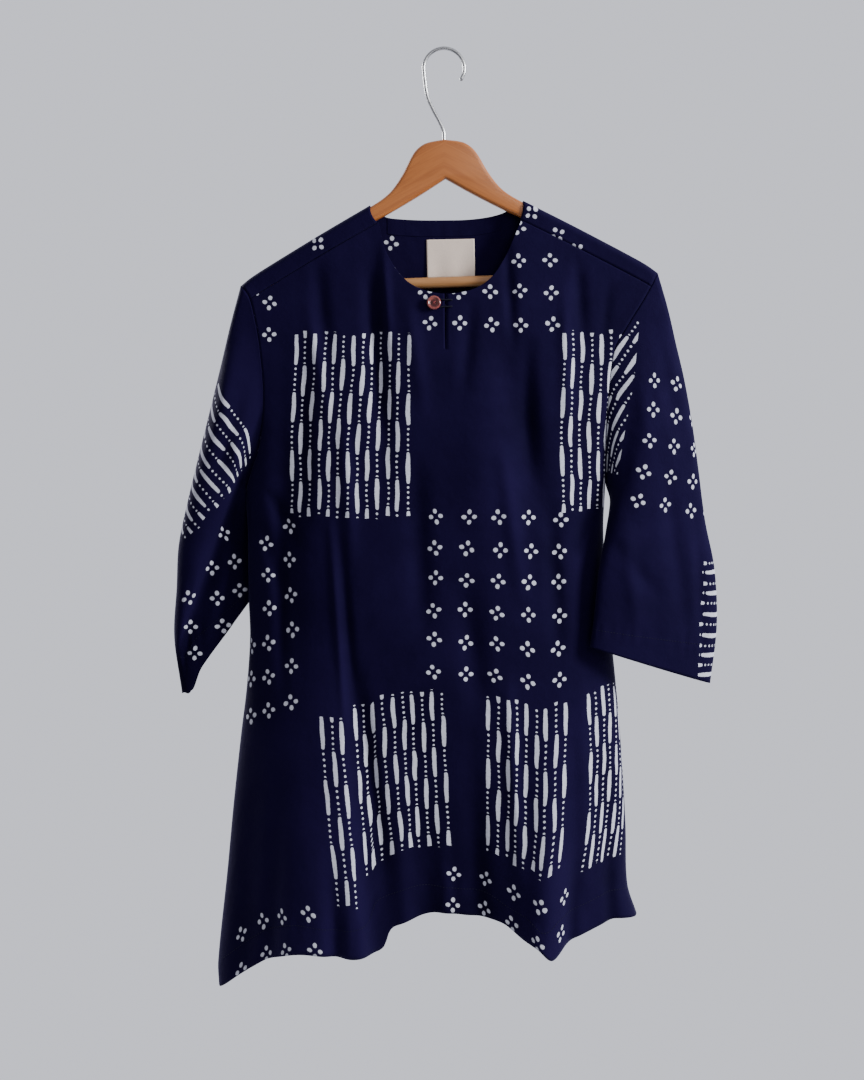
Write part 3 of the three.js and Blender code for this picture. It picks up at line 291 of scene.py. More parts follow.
def stand_off(face, x, drop):
    """Distance of the cloth from the hanger's plane; face is -1 for the front and 1 for the back."""
    x, drop = np.broadcast_arrays(np.asarray(x, float), np.asarray(drop, float))
    below = np.maximum(0, drop - ridge_drop(x))
    short = SHOULDER_BEND - np.minimum(below, SHOULDER_BEND)
    near = np.sqrt(np.maximum(SHOULDER_BEND ** 2 - short ** 2, 0))
    left_x = LEFT["x_at"](np.maximum(drop, LEFT["tip_drop"]))
    right_x = RIGHT["x_at"](np.maximum(drop, RIGHT["tip_drop"]))
    across = np.clip((x - left_x) / (right_x - left_x), 0, 1)
    leftwards = across < 0.5
    at_side = np.where(leftwards, side_depth(LEFT, drop), side_depth(RIGHT, drop))
    share = np.where(leftwards, armhole_share(LEFT, drop), armhole_share(RIGHT, drop))
    full = front_depth(drop) if face < 0 else back_depth(drop)
    middle = SHOULDER_BEND + (full - SHOULDER_BEND) * (1 - np.exp(-(below - SHOULDER_BEND) / DEPTH_GROWTH))
    sharpness = blend(1, 0.5, smooth((share - 0.35) / 0.65))
    arch = (1 - np.abs(2 * across - 1) ** ROUND_SIDES) ** sharpness
    main, fine = relief(face, x, drop)
    fine = CREASE_HEIGHT * fine + puckers(x, hem_at[face](x) - drop, HEM_TURN)
    settled = smooth((below - SHOULDER_BEND) / CREASES_SETTLE)
    far = at_side + (middle - at_side) * arch + (main + fine * settled) * arch
    return np.where(below < SHOULDER_BEND, near, far)


def on_panel(face, x, drop):
    depth = face * stand_off(face, x, drop)
    return np.stack(np.broadcast_arrays(x, depth, -np.asarray(drop, float)), axis=-1)


def over_shoulder(x, below):
    """Point of the back at a signed distance below the ridge, negative down the front side."""
    drop = ridge_drop(x) + np.abs(below)
    depth = np.where(below < 0, -stand_off(-1, x, drop), stand_off(1, x, drop))
    return np.stack([x, depth, -drop], axis=-1)


# Fabric coordinates of a panel: u along the cloth from the middle, v down from the hook.
STEP_X, STEP_DROP = 2.0, 6.0
TABLE_X = np.arange(-256, 257, STEP_X)
TABLE_DROP = np.arange(150, 1021, STEP_DROP)


def width_table(face):
    gx, gd = np.meshgrid(TABLE_X, TABLE_DROP)
    depth = stand_off(face, gx, gd) * (1 + PRINT_SQUEEZE * smooth((gd - SQUEEZE_FROM) / SQUEEZE_OVER))
    step = np.sqrt(np.diff(gx, axis=1) ** 2 + np.diff(depth, axis=1) ** 2)
    run = np.concatenate([np.zeros((len(TABLE_DROP), 1)), np.cumsum(step, axis=1)], axis=1)
    middle = run[:, [int(np.argmin(np.abs(TABLE_X)))]]
    return run - middle


WIDTHS = {-1: width_table(-1), 1: width_table(1)}


def fabric_u(face, x, drop):
    cx = np.clip((np.asarray(x, float) - TABLE_X[0]) / STEP_X, 0, len(TABLE_X) - 1.001)
    cd = np.clip((np.asarray(drop, float) - TABLE_DROP[0]) / STEP_DROP, 0, len(TABLE_DROP) - 1.001)
    i, j = cx.astype(int), cd.astype(int)
    fx, fd = cx - i, cd - j
    table = WIDTHS[face]
    top = blend(table[j, i], table[j, i + 1], fx)
    low = blend(table[j + 1, i], table[j + 1, i + 1], fx)
    return blend(top, low, fd)


def yoke_fabric(x, down):
    """Fabric coordinates of the back piece where it folds over the shoulder to the front."""
    lean = np.arctan((ridge_drop(x + 2) - ridge_drop(x - 2)) / 4)
    ridge = ridge_drop(x)
    return fabric_u(1, x, ridge + down) + down * np.sin(2 * lean), ridge - down * np.cos(2 * lean)


def fabric_v(face, x, drop):
    """Low on the panel the rows of print follow the hem, which the folds lift and lower."""
    hem = hem_at[face](x)
    share = np.clip((drop - FOLLOW_FROM) / (hem - FOLLOW_FROM), 0, 1)
    return drop - ROWS_FOLLOW_HEM * share * (hem - HEM_LEVEL)


# ---------------------------------------------------------------- meshes

def in_scene(name, data):
    made = bpy.data.objects.new(name, data)
    bpy.context.scene.collection.objects.link(made)
    return made


def finish_mesh(name, bm):
    mesh = bpy.data.meshes.new(name)
    bm.to_mesh(mesh)
    bm.free()
    mesh.shade_smooth()
    return in_scene(name, mesh)


def grid_piece(name, points, uv, cells=None, flip=False, painted_lighting=None):
    """A cloth surface from a grid of points in mm, with fabric coordinates and a painted shade factor."""
    rows, columns = points.shape[:2]
    bm = bmesh.new()
    layer = bm.loops.layers.uv.new("fabric")
    painted_shade = bm.verts.layers.float.new("painted_shade")
    verts = [[bm.verts.new(points[r, c] * MM) for c in range(columns)] for r in range(rows)]
    for r in range(rows):
        for c in range(columns):
            verts[r][c][painted_shade] = 0.5 if painted_lighting is None else float(painted_lighting[r, c])
    for r in range(rows - 1):
        for c in range(columns - 1):
            if cells is not None and not cells[r, c]:
                continue
            corners = [(r, c), (r + 1, c), (r + 1, c + 1), (r, c + 1)]
            if flip:
                corners.reverse()
            face = bm.faces.new([verts[i][j] for i, j in corners])
            for loop, (i, j) in zip(face.loops, corners):
                loop[layer].uv = uv[i, j] * MM
    loose = [v for v in bm.verts if not v.link_faces]
    bmesh.ops.delete(bm, geom=loose, context="VERTS")
    bmesh.ops.remove_doubles(bm, verts=bm.verts, dist=2e-6)
    return finish_mesh(name, bm)


def give_wall(piece, wall):
    shell = piece.modifiers.new("wall", "SOLIDIFY")
    shell.thickness = wall * MM
    shell.offset = -1
    shell.use_rim = True


def fill_grid(top, hem, left_side, right_side):
    """Grid of (x, down) inside four borders of points."""
    u = np.linspace(0, 1, len(top))[None, :, None]
    share_l = (left_side[:, 1] - left_side[0, 1]) / (left_side[-1, 1] - left_side[0, 1])
    share_r = (right_side[:, 1] - right_side[0, 1]) / (right_side[-1, 1] - right_side[0, 1])
    v = blend(share_l[:, None, None], share_r[:, None, None], u)
    between = blend(left_side[:, None, :], right_side[:, None, :], u)
    fall = blend(top[None, :, :], hem[None, :, :], v)
    flat = blend(blend(top[0], top[-1], u), blend(hem[0], hem[-1], u), v)
    return between + fall - flat


def armhole_drop(side, angle):
    return blend(side["tip_drop"], side["armpit"], (1 - np.cos(np.radians(angle))) / 2)


def neck_end(neck):
    x = neck[0] + neck[1]
    return x, float(ridge_drop(x)) + NECK_SEAM_BELOW


SHOULDER_COLUMNS = 56
SIDE_ROWS = 118
BACK_FROM = 15      # degrees round the armhole where the strips over the shoulder end
SLEEVE_RINGS, RING_POINTS = 150, 145


def border_drops(side, angle, count):
    """Drops down a panel's edge: round the armhole from an angle on, then down the side seam."""
    return np.concatenate([armhole_drop(side, np.linspace(angle, 180, count)),
                           np.linspace(side["armpit"], side["foot"], SIDE_ROWS)[1:]])


def build_front():
    def seam(side, neck):
        drop = float(armhole_drop(side, SEAM_FORWARD))
        x0 = float(side["x_at"](drop))
        x1, end_drop = neck_end(neck)
        xs = np.linspace(x0, x1, SHOULDER_COLUMNS + 1)
        below = np.linspace(drop - float(ridge_drop(x0)), end_drop - float(ridge_drop(x1)), len(xs))
        return np.stack([xs, ridge_drop(xs) + below + SEAM_GAP], axis=1)

    left_seam, right_seam = seam(LEFT, LEFT_NECK), seam(RIGHT, RIGHT_NECK)[::-1]
    around = np.vstack([left_seam[-1:], np.array(FRONT_NECK, float), right_seam[:1]])
    half = 44
    dense = resampled(around, 400)
    split = int(np.argmin(np.abs(dense[:, 0] - SLIT["x"])))
    neck = np.vstack([resampled(dense[:split + 1:8], half), resampled(dense[split::8], half)[1:]])
    neck[0], neck[-1] = left_seam[-1], right_seam[0]
    top = np.vstack([left_seam[:-1], neck, right_seam[1:]])
    hem_x = np.linspace(FRONT_HEM[0][0], FRONT_HEM[-1][0], len(top))
    hem = np.stack([hem_x, hem_at[-1](hem_x)], axis=1)

    def border(side):
        drops = border_drops(side, SEAM_FORWARD, 90)
        drops[0] += SEAM_GAP
        return np.stack([side["x_at"](drops), drops], axis=1)

    grid = fill_grid(top, hem, border(LEFT), border(RIGHT))
    middle = SHOULDER_COLUMNS + half
    columns = grid.shape[1]
    tent = np.concatenate([np.linspace(0, 1, middle + 1), np.linspace(1, 0, columns - middle)[1:]])
    grid[:, :, 0] += (SLIT["x"] - grid[:, middle, 0])[:, None] * smooth(tent)[None, :]
    grid = np.insert(grid, middle, grid[:, middle], axis=1)
    opened = np.clip((SLIT["foot"] - grid[:, middle, 1]) / (SLIT["foot"] - SLIT["top"]), 0, 1) ** 0.5
    for column in (middle, middle + 1):
        sign = -1 if column == middle else 1
        grid[:, column, 0] += sign * opened * SLIT["wide"] / 2
    x, drop = grid[:, :, 0], grid[:, :, 1]
    points = on_panel(-1, x, drop)
    lift = np.exp(-np.abs(x - SLIT["x"]) / 9) * smooth((SLIT["foot"] + 6 - drop) / 50)
    points[:, :, 1] -= lift * np.where(x < SLIT["x"], 1.2, 0.2)
    uv = np.stack([fabric_u(-1, x, drop), fabric_v(-1, x, drop)], axis=-1)
    cells = np.ones((grid.shape[0] - 1, grid.shape[1] - 1), bool)
    cells[:, middle] = False
    return grid_piece("front_cloth", points, uv, cells, painted_lighting=fold_shade_paint(-1, x, drop))


def build_back():
    forward = np.linspace(SEAM_FORWARD, 0, 13)[:-1]
    behind = np.linspace(0, BACK_FROM, 8)

    def signed(side, drop, face):
        x = side["x_at"](drop)
        return np.stack([x, face * np.maximum(0, drop - ridge_drop(x))], axis=-1)

    def strip(side, neck):
        edge = np.vstack([signed(side, armhole_drop(side, forward), -1),
                          signed(side, armhole_drop(side, behind), 1)])
        down = np.where(edge[:, 1] < 0, -NECK_SEAM_BELOW * edge[:, 1] / edge[0, 1], edge[:, 1])
        end = np.stack([neck[0] + neck[1] * (np.maximum(0, -down) / NECK_SEAM_BELOW) ** 2, down], axis=1)
        t = np.linspace(0, 1, SHOULDER_COLUMNS + 1)[None, :, None]
        return blend(edge[:, None, :], end[:, None, :], t)

    left_strip, right_strip = strip(LEFT, LEFT_NECK), strip(RIGHT, RIGHT_NECK)[:, ::-1]
    ends = [left_strip[-1, -1], right_strip[-1, 0]]
    line = [(p[0], ridge_drop(p[0]) + p[1]) for p in ends]
    neck = resampled([line[0]] + BACK_NECK + [line[1]], 66)[1:-1]
    neck = np.stack([neck[:, 0], neck[:, 1] - ridge_drop(neck[:, 0])], axis=1)
    top = np.vstack([left_strip[-1], neck, right_strip[-1]])
    hem_x = np.linspace(BACK_HEM[0][0], BACK_HEM[-1][0], len(top))
    hem = np.stack([hem_x, hem_at[1](hem_x) - ridge_drop(hem_x)], axis=1)

    def border(side):
        return signed(side, border_drops(side, BACK_FROM, 92), 1)

    panel = fill_grid(top, hem, border(LEFT), border(RIGHT))
    strips = np.zeros((left_strip.shape[0] - 1, panel.shape[1], 2))
    strips[:, :SHOULDER_COLUMNS + 1] = left_strip[:-1]
    strips[:, -SHOULDER_COLUMNS - 1:] = right_strip[:-1]
    grid = np.vstack([strips, panel])
    cells = np.ones((grid.shape[0] - 1, grid.shape[1] - 1), bool)
    cells[:len(strips), SHOULDER_COLUMNS:-SHOULDER_COLUMNS] = False
    x, below = grid[:, :, 0], grid[:, :, 1]
    points = over_shoulder(x, below)
    drop = ridge_drop(x) + below
    yoke = np.stack(yoke_fabric(x, np.abs(below)), axis=-1)
    uv = np.stack([fabric_u(1, x, drop), fabric_v(1, x, drop)], axis=-1)
    uv = np.where(below[..., None] < 0, yoke, uv)
    return grid_piece("back_cloth", points, uv, cells, flip=True, painted_lighting=fold_shade_paint(1, x, drop))


def section_points(section, angle):
    c, s = np.cos(np.radians(angle)), np.sin(np.radians(angle))
    t = (1 + c) / 2
    out_x, out_drop, out_y, in_x, in_drop, in_y, half = section
    bulge = np.sign(s) * np.abs(s) ** SLEEVE_BLUNT * half
    depth = blend(in_y, out_y, t) - bulge
    return np.stack([blend(in_x, out_x, t), depth, -blend(in_drop, out_drop, t)], axis=-1)


def armhole_points(side, angle):
    drop = armhole_drop(side, angle)
    x = side["x_at"](drop)
    s = np.sin(np.radians(angle))
    depth = np.where(s >= 0, -stand_off(-1, x, drop), stand_off(1, x, drop))
    return np.stack([x, np.where(np.abs(s) < 1e-6, 0, depth), -drop], axis=-1)


def beside(line, x, drop):
    """Where points lie from a line: their share of the way along it and their distance to its side."""
    x0, drop0, x1, drop1 = line
    length = math.hypot(x1 - x0, drop1 - drop0)
    ax, ad = (x1 - x0) / length, (drop1 - drop0) / length
    return ((x - x0) * ax + (drop - drop0) * ad) / length, (x - x0) * ad - (drop - drop0) * ax


def sleeve_ring(sleeve, share, angle):
    """Points round a sleeve at a share of its length; angle 0 is the outer fold, the front is positive."""
    side, outwards = sleeve["side"], math.copysign(1, sleeve["side"]["tip"])
    lines = [curve(sleeve["rows"], 0, k) for k in range(1, 8)]
    bend = armhole_points(side, angle) - section_points([line(0) for line in lines], angle)
    keep = 1 - smooth(share / ARMHOLE_FADES)
    points = section_points([line(share) for line in lines], angle) + bend * keep
    points[:, 0] += outwards * SLEEVE_GAP * keep
    turn = np.sin(np.radians(angle))
    if sleeve["step"]:
        *line, wide, out = sleeve["step"]
        outside = beside(line, points[:, 0], -points[:, 2])[1]
        lift = out * 0.5 * (1 - np.tanh(outside / wide))
        points[:, 1] -= np.where(turn > 0, lift * turn, 0) * (1 - keep)
    fine = np.zeros(len(angle))
    for *line, wide, out in sleeve["creases"]:
        for face, dx, dd in ((1, 0, 0), (-1, 14, 24)):    # those of the back lie off those of the front
            t, away = beside(line, points[:, 0] - dx, -points[:, 2] - dd)
            height = out * face * np.sin(np.pi * np.clip(t, 0, 1)) * np.exp(-(away / wide) ** 2)
            fine += np.where(turn * face > 0, height, 0)
    toward_tip = ((1 + np.cos(np.radians(angle))) / 2 - BLUNT_AT) / BLUNT_WIDE
    points[:, 2] -= sleeve["blunt"] * np.exp(-toward_tip ** 2) * smooth((share - 0.75) / 0.25)
    cuff = (1 - share) * math.hypot(lines[1](1) - lines[1](0), lines[0](1) - lines[0](0))
    fine += np.sign(turn) * puckers(angle * 1.4, np.full(len(angle), cuff), HEM_TURN)
    points[:, 1] -= fine * np.abs(turn) ** 0.7 * (1 - keep)
    return points


def grain(sleeve, x, drop):
    """Across and along the sleeve's grain, which runs with the underarm seam."""
    lean = math.radians(sleeve["grain"])
    return x * math.cos(lean) - drop * math.sin(lean), x * math.sin(lean) + drop * math.cos(lean)


def over_fold(sleeve, x, drop):
    """Where points of the sleeve's back lie once the cloth is opened out over the outer fold."""
    first, last = sleeve["rows"][0], sleeve["rows"][-1]
    away = np.array([last[2] - first[2], first[1] - last[1]], float)
    away = away / np.hypot(*away)
    beyond = (x - first[1]) * away[0] + (drop - first[2]) * away[1]
    return x - 2 * beyond * away[0], drop - 2 * beyond * away[1]


def build_sleeve(name, sleeve):
    angle = np.linspace(-180, 180, RING_POINTS)
    points = np.array([sleeve_ring(sleeve, share, angle) for share in np.linspace(0, 1, SLEEVE_RINGS)])
    points[:, 0] = points[:, -1]
    across, along = grain(sleeve, points[:, :, 0], -points[:, :, 2])
    outwards = math.copysign(1, sleeve["side"]["tip"])
    outer = (np.cos(np.radians(angle[:-1])) > 0.1) * sleeve["turned"] + 1
    step = np.sqrt(np.diff(across, axis=1) ** 2 + (outer * np.diff(points[:, :, 1], axis=1)) ** 2)
    run = np.concatenate([np.zeros((len(points), 1)), np.cumsum(step, axis=1)], axis=1)
    middle = int(np.argmin(np.abs(angle - 90)))
    u = across[:, [middle]] - outwards * (run - run[:, [middle]])
    fold = int(np.argmin(np.abs(angle)))
    back_u, back_v = grain(sleeve, *over_fold(sleeve, points[:, :, 0], -points[:, :, 2]))
    behind = angle[None, :] < 0
    u = np.where(behind, back_u + u[:, [fold]] - across[:, [fold]], u)
    along = np.where(behind, back_v, along)
    # Painted shadow: the left sleeve's front below its crease gets 0, the darkest navy; elsewhere the sleeves
    # get a fixed middle tone
    painted_lighting = np.full(u.shape, 0.55)
    if sleeve["step"]:
        outside = beside(sleeve["step"][:4], points[:, :, 0], -points[:, :, 2])[1]
        painted_lighting = 0.75 - 0.75 * smooth((outside + 1) / 5) * (points[:, :, 1] < 10)
    return grid_piece(name, points, np.stack([u, along], axis=-1), flip=outwards > 0, painted_lighting=painted_lighting)


LEFT_ARM = {"rows": LEFT_SLEEVE, "side": LEFT, "creases": LEFT_SLEEVE_FOLDS, "step": LEFT_CREASE, "grain": 10,
            "turned": 0, "blunt": 12}
RIGHT_ARM = {"rows": RIGHT_SLEEVE, "side": RIGHT, "creases": RIGHT_SLEEVE_FOLDS, "step": None, "grain": -10.5,
             "turned": 0.9, "blunt": 0}


# ---------------------------------------------------------------- node tools

class Value:
    """What a node gives out, with arithmetic that adds the nodes for it."""

    def __init__(self, graph, socket):
        self.graph, self.socket = graph, socket

    def __add__(self, other):
        return self.graph.math("ADD", self, other)

    def __sub__(self, other):
        return self.graph.math("SUBTRACT", self, other)

    def __mul__(self, other):
        return self.graph.math("MULTIPLY", self, other)

    def __truediv__(self, other):
        return self.graph.math("DIVIDE", self, other)

    def scaled(self, by, plus, clamp=False):
        return self.graph.math("MULTIPLY_ADD", self, by, plus, clamp=clamp)


class Graph:
    """Adds nodes to a tree and joins them."""

    def __init__(self, tree):
        self.tree = tree

    def put(self, socket, value):
        if isinstance(value, Value):
            self.tree.links.new(value.socket, socket)
        else:
            socket.default_value = value

    def add(self, kind, inputs, output=0, **settings):
        """A new node with its settings and inputs, and what it gives out."""
        node = self.tree.nodes.new(kind)
        for name, setting in settings.items():
            setattr(node, name, setting)
        for key, value in inputs.items():
            self.put(node.inputs[key], value)
        return Value(self, node.outputs[output])

    def math(self, operation, *values, clamp=False):
        return self.add("ShaderNodeMath", dict(enumerate(values)), operation=operation, use_clamp=clamp)

    def vector(self, operation, *values):
        return self.add("ShaderNodeVectorMath", dict(enumerate(values)), operation=operation)

    def scale(self, vector, by):
        return self.add("ShaderNodeVectorMath", {0: vector, "Scale": by}, operation="SCALE")

    def ramp(self, value, low, high, to_low=0.0, to_high=1.0):
        inputs = {"Value": value, "From Min": low, "From Max": high, "To Min": to_low, "To Max": to_high}
        return self.add("ShaderNodeMapRange", inputs, "Result", interpolation_type="SMOOTHSTEP")

    def split(self, vector):
        parts = self.add("ShaderNodeSeparateXYZ", {0: vector}).socket.node.outputs
        return [Value(self, part) for part in parts]

    def join(self, x, y, z=0.0):
        return self.add("ShaderNodeCombineXYZ", {0: x, 1: y, 2: z})

    def noise(self, vector, scale, detail=2.0, roughness=0.5, output="Fac"):
        inputs = {"Vector": vector, "Scale": scale, "Detail": detail, "Roughness": roughness}
        return self.add("ShaderNodeTexNoise", inputs, output)

    def white(self, vector):
        return self.add("ShaderNodeTexWhiteNoise", {"Vector": vector}, "Color", noise_dimensions="3D")

    def mix(self, factor, a, b):
        return self.add("ShaderNodeMix", {"Factor": factor, "A": a, "B": b}, "Result", data_type="RGBA")

    def group(self, tree, **values):
        return self.add("ShaderNodeGroup", values, node_tree=tree)


def new_group(name, numbers, output):
    """A shader group that takes the place on the fabric and some numbers, and gives a number."""
    tree = bpy.data.node_groups.new(name, "ShaderNodeTree")
    add = tree.interface.new_socket
    add("Fabric", in_out="INPUT", socket_type="NodeSocketVector")
    for label in numbers:
        add(label, in_out="INPUT", socket_type="NodeSocketFloat")
    add(output, in_out="OUTPUT", socket_type="NodeSocketFloat")
    g = Graph(tree)
    entry = tree.nodes.new("NodeGroupInput")
    inside = {label: Value(g, entry.outputs[label]) for label in ("Fabric", *numbers)}
    return tree, g, inside, tree.nodes.new("NodeGroupOutput").inputs[0]


BLOCK_NUMBERS = ("Left", "Top", "Turn", "Columns", "Rows", "Pitch", "Seed")


def apart(g, x, y):
    """Distance of (x, y) from the middle."""
    return g.math("SQRT", x * x + y * y)


def turned(g, x, y, angle):
    """The place (x, y) on axes turned by an angle."""
    c, s = g.math("COSINE", angle), g.math("SINE", angle)
    return x * c + y * s, y * c - x * s


def block_frame(g, inside):
    """Position from a block's first motif, turned with the block, in millimetres; and the column."""
    x, y, _ = g.split(inside["Fabric"])
    right, down = turned(g, x - inside["Left"], y - inside["Top"], inside["Turn"])
    return right, down, g.math("ROUND", right / inside["Pitch"])


def within(g, value, count):
    return g.math("GREATER_THAN", value, -0.5) * g.math("LESS_THAN", value, count - 0.5)


# Millimetres: a floret's dots lie FLORET_REACH from its middle; a repeat of a dash column is
# a dash about DASH_MIDDLE and dots from DOTS_FROM to DOTS_TO. An edge is where print starts and ends.
FLORET_REACH, FLORET_SQUEEZE, FLORET_EDGE = 5.5, 0.88, (1.85, 2.5)
DASH_REPEAT, DASH_MIDDLE, DASH_HALF, DASH_EDGE = 62.0, 17.5, 15.0, (1.9, 2.6)
DOTS_FROM, DOTS_TO, DOT_STEP, DOT_EDGE = 35.5, 61.0, 5.6, (0.95, 1.5)
PRINT_DRIFTS = [(0.035, 3.6), (0.5, 0.7)]


def floret_group():
    """Rows of florets of four dots; whole motifs only."""
    tree, g, inside, out = new_group("florets", BLOCK_NUMBERS, "Print")
    right, down, column = block_frame(g, inside)
    row = g.math("ROUND", down / inside["Pitch"])
    chance = g.split(g.white(g.join(column, row, inside["Seed"])))
    x = right - column * inside["Pitch"] + chance[0].scaled(3.0, -1.5)
    y = down - row * inside["Pitch"] + chance[1].scaled(3.0, -1.5)
    x, y = [g.math("ABSOLUTE", v) for v in turned(g, x, y, chance[2].scaled(0.5, -0.25))]
    off = (g.math("MAXIMUM", x, y) - FLORET_REACH) * FLORET_SQUEEZE
    dot = g.ramp(apart(g, off, g.math("MINIMUM", x, y)), *FLORET_EDGE, 1.0, 0.0)
    g.put(out, dot * (within(g, column, inside["Columns"]) * within(g, row, inside["Rows"])))
    return tree


def dash_group():
    """Columns of long dashes and runs of dots, each column half a repeat off its neighbours."""
    tree, g, inside, out = new_group("dashes", BLOCK_NUMBERS, "Print")
    right, down, column = block_frame(g, inside)
    chance = g.split(g.white(g.join(column, 5.0, inside["Seed"])))
    x = right - column * inside["Pitch"] + chance[0].scaled(1.6, -0.8)
    half_repeat = g.math("FLOORED_MODULO", column, 2.0) * (DASH_REPEAT / 2)
    along = g.math("FLOORED_MODULO", down + chance[1].scaled(7.0, half_repeat), DASH_REPEAT)
    end = g.math("ABSOLUTE", along - DASH_MIDDLE)
    taper = g.math("POWER", end / DASH_MIDDLE, 2.0) * 0.75
    beyond = g.math("MAXIMUM", end - DASH_HALF, 0.0)
    dash = g.ramp(apart(g, x, beyond) + taper, *DASH_EDGE, 1.0, 0.0)
    step = g.math("FLOORED_MODULO", along - DOTS_FROM, DOT_STEP) - DOT_STEP / 2
    dots = g.ramp(apart(g, x, step), *DOT_EDGE, 1.0, 0.0)
    dots = dots * g.math("GREATER_THAN", along, DOTS_FROM) * g.math("LESS_THAN", along, DOTS_TO)
    started = g.math("GREATER_THAN", down, chance[2] * -5.0)
    unfinished = g.math("LESS_THAN", down, chance[0].scaled(6.0, inside["Rows"]))
    shown = within(g, column, inside["Columns"]) * (started * unfinished)
    g.put(out, g.math("MAXIMUM", dash, dots) * shown)
    return tree


def weave_group():
    """Height of a plain weave: warp and weft over and under each other, with uneven yarns."""
    tree, g, inside, out = new_group("plain_weave", (), "Height")
    x, y, _ = g.split(inside["Fabric"])
    slubs = g.noise(g.join(x * 0.12, y), 1.3) * 0.9 + g.noise(g.join(x, y * 0.12), 1.3) * 0.9
    cloth = g.math("SINE", x * 9.0) * g.math("SINE", y * 8.2)
    g.put(out, cloth.scaled(0.35, slubs))
    return tree


MOTIFS, WEAVE = {"floret": floret_group(), "dash": dash_group()}, weave_group()

# Navy of the cloth: the first colour is the painted shade of furrows and creases and the darker dye mottle,
# the second the lit navy and the lighter mottle
NAVY_SHADE_AND_DEEP_DYE = (0.0010, 0.0003, 0.0050, 1)
NAVY_LIT_AND_FADED_DYE = (0.0070, 0.0037, 0.0262, 1)
PRINT_WHITE = (0.53, 0.53, 0.605, 1)
PRINT_THIN = (0.29, 0.30, 0.40, 1)


def material_base(name, roughness, **settings):
    look = bpy.data.materials.new(name)
    look.use_nodes = True
    shader = look.node_tree.nodes["Principled BSDF"]
    for label, value in {"Roughness": roughness, **settings}.items():
        shader.inputs[label.replace("_", " ")].default_value = value
    return look, Graph(look.node_tree), shader


def fabric_position(g):
    return g.scale(g.add("ShaderNodeUVMap", {}, uv_map="fabric"), 1000.0)


def bump(g, shader, height, strength, distance):
    inputs = {"Strength": strength, "Distance": distance, "Height": height}
    g.put(shader.inputs["Normal"], g.add("ShaderNodeBump", inputs))


def cotton(name, blocks):
    """Indigo cotton with its print. A block is (kind, left, top, turn, columns, rows, pitch, seed)."""
    look, g, shader = material_base(
        name, 0.82, Sheen_Weight=0.04, Sheen_Roughness=0.4, Sheen_Tint=(0.45, 0.38, 1.0, 1),
        Specular_IOR_Level=0.13, Specular_Tint=(0.3, 0.24, 1.0, 1))
    place = fabric_position(g)
    across, along, _ = g.split(place)
    moved = place
    for scale, reach in PRINT_DRIFTS:
        drift = g.vector("SUBTRACT", g.noise(place, scale, 1.0, output="Color"), (0.5, 0.5, 0.5))
        moved = g.vector("ADD", moved, g.scale(drift, reach))
    ink = None
    for kind, left, top, turn, columns, rows, pitch, seed, *limits in blocks:
        numbers = map(float, (left, top, math.radians(turn), columns, rows, pitch, seed))
        mask = g.group(MOTIFS[kind], Fabric=moved, **dict(zip(BLOCK_NUMBERS, numbers)))
        for low_across, high_across, low_along, high_along in limits:
            for value, low, high in ((across, low_across, high_across), (along, low_along, high_along)):
                mask = mask * g.math("GREATER_THAN", value, float(low))
                mask = mask * g.math("LESS_THAN", value, float(high))
        ink = mask if ink is None else g.math("MAXIMUM", ink, mask)
    # Painted shade: the per-point attribute darkens the navy in fold furrows and under the left sleeve's
    # crease; the noise adds real dye mottle
    painted_shade = g.add("ShaderNodeAttribute", {}, "Fac", attribute_name="painted_shade")
    shade_and_mottle = painted_shade.scaled(0.7, g.noise(place, 0.012, 3.0).scaled(0.9, -0.32), clamp=True)
    weave = g.group(WEAVE, Fabric=place)
    ground = g.mix(g.ramp(weave, 0.5, 1.5) * 0.22, g.mix(shade_and_mottle, NAVY_SHADE_AND_DEEP_DYE, NAVY_LIT_AND_FADED_DYE), NAVY_LIT_AND_FADED_DYE)
    if ink is not None:
        thin = g.ramp(g.noise(place, 0.35), 0.52, 0.75) * 0.45
        ground = g.mix(ink, ground, g.mix(thin, PRINT_WHITE, PRINT_THIN))
    g.put(shader.inputs["Base Color"], ground)
    g.put(shader.inputs["Roughness"], g.noise(place, 0.05).scaled(0.14, 0.74))
    bump(g, shader, weave * 0.5 + g.noise(place, 0.045, 3.0, 0.55) * 9.0, 0.32, 0.00042)
    return look


# Print blocks: kind, x and drop of the first motif, turn, columns, rows (or length), pitch, seed and
# for a block cut at a seam its limits across and along the cloth
FRONT_PRINT = [
    ("floret", -203, 257, -4, 1, 1, 33.6, 1), ("floret", -186, 274, 3, 1, 2, 33.6, 2),
    ("floret", -134, 214, 2, 1, 1, 33.6, 3), ("floret", -16, 297, 0, 5, 1, 33.0, 4),
    ("floret", -18.8, 262, 0, 5, 1, 33.4, 5), ("floret", 81, 228, 0, 2, 1, 33.6, 6),
    ("floret", 79, 192, 0, 1, 1, 33.6, 7), ("dash", -158, 309, 0.5, 13, 188, 10.6, 11),
    ("dash", 128, 308, 0, 7, 186, 10.2, 12), ("floret", -8, 501, 1.2, 5, 6, 33.4, 13),
    ("floret", -165, 512, -2.2, 1, 6, 35.5, 14), ("floret", -190, 530, -1.5, 1, 6, 33.6, 15),
    ("floret", -206, 640, 0, 1, 3, 33.6, 16), ("dash", -129, 712, -0.8, 3, 180, 10.8, 17),
    ("dash", -95, 703, -2.6, 10, 166, 10.3, 27), ("dash", 46, 692, -0.6, 9, 160, 10.3, 18),
    ("dash", 152, 690, -4.5, 7, 180, 9.0, 19), ("floret", 10, 877, 0, 5, 2, 34, 20),
    ("floret", -216, 944, 0, 1, 2, 34, 23), ("floret", -191, 925, -2, 3, 2, 34, 22),
]
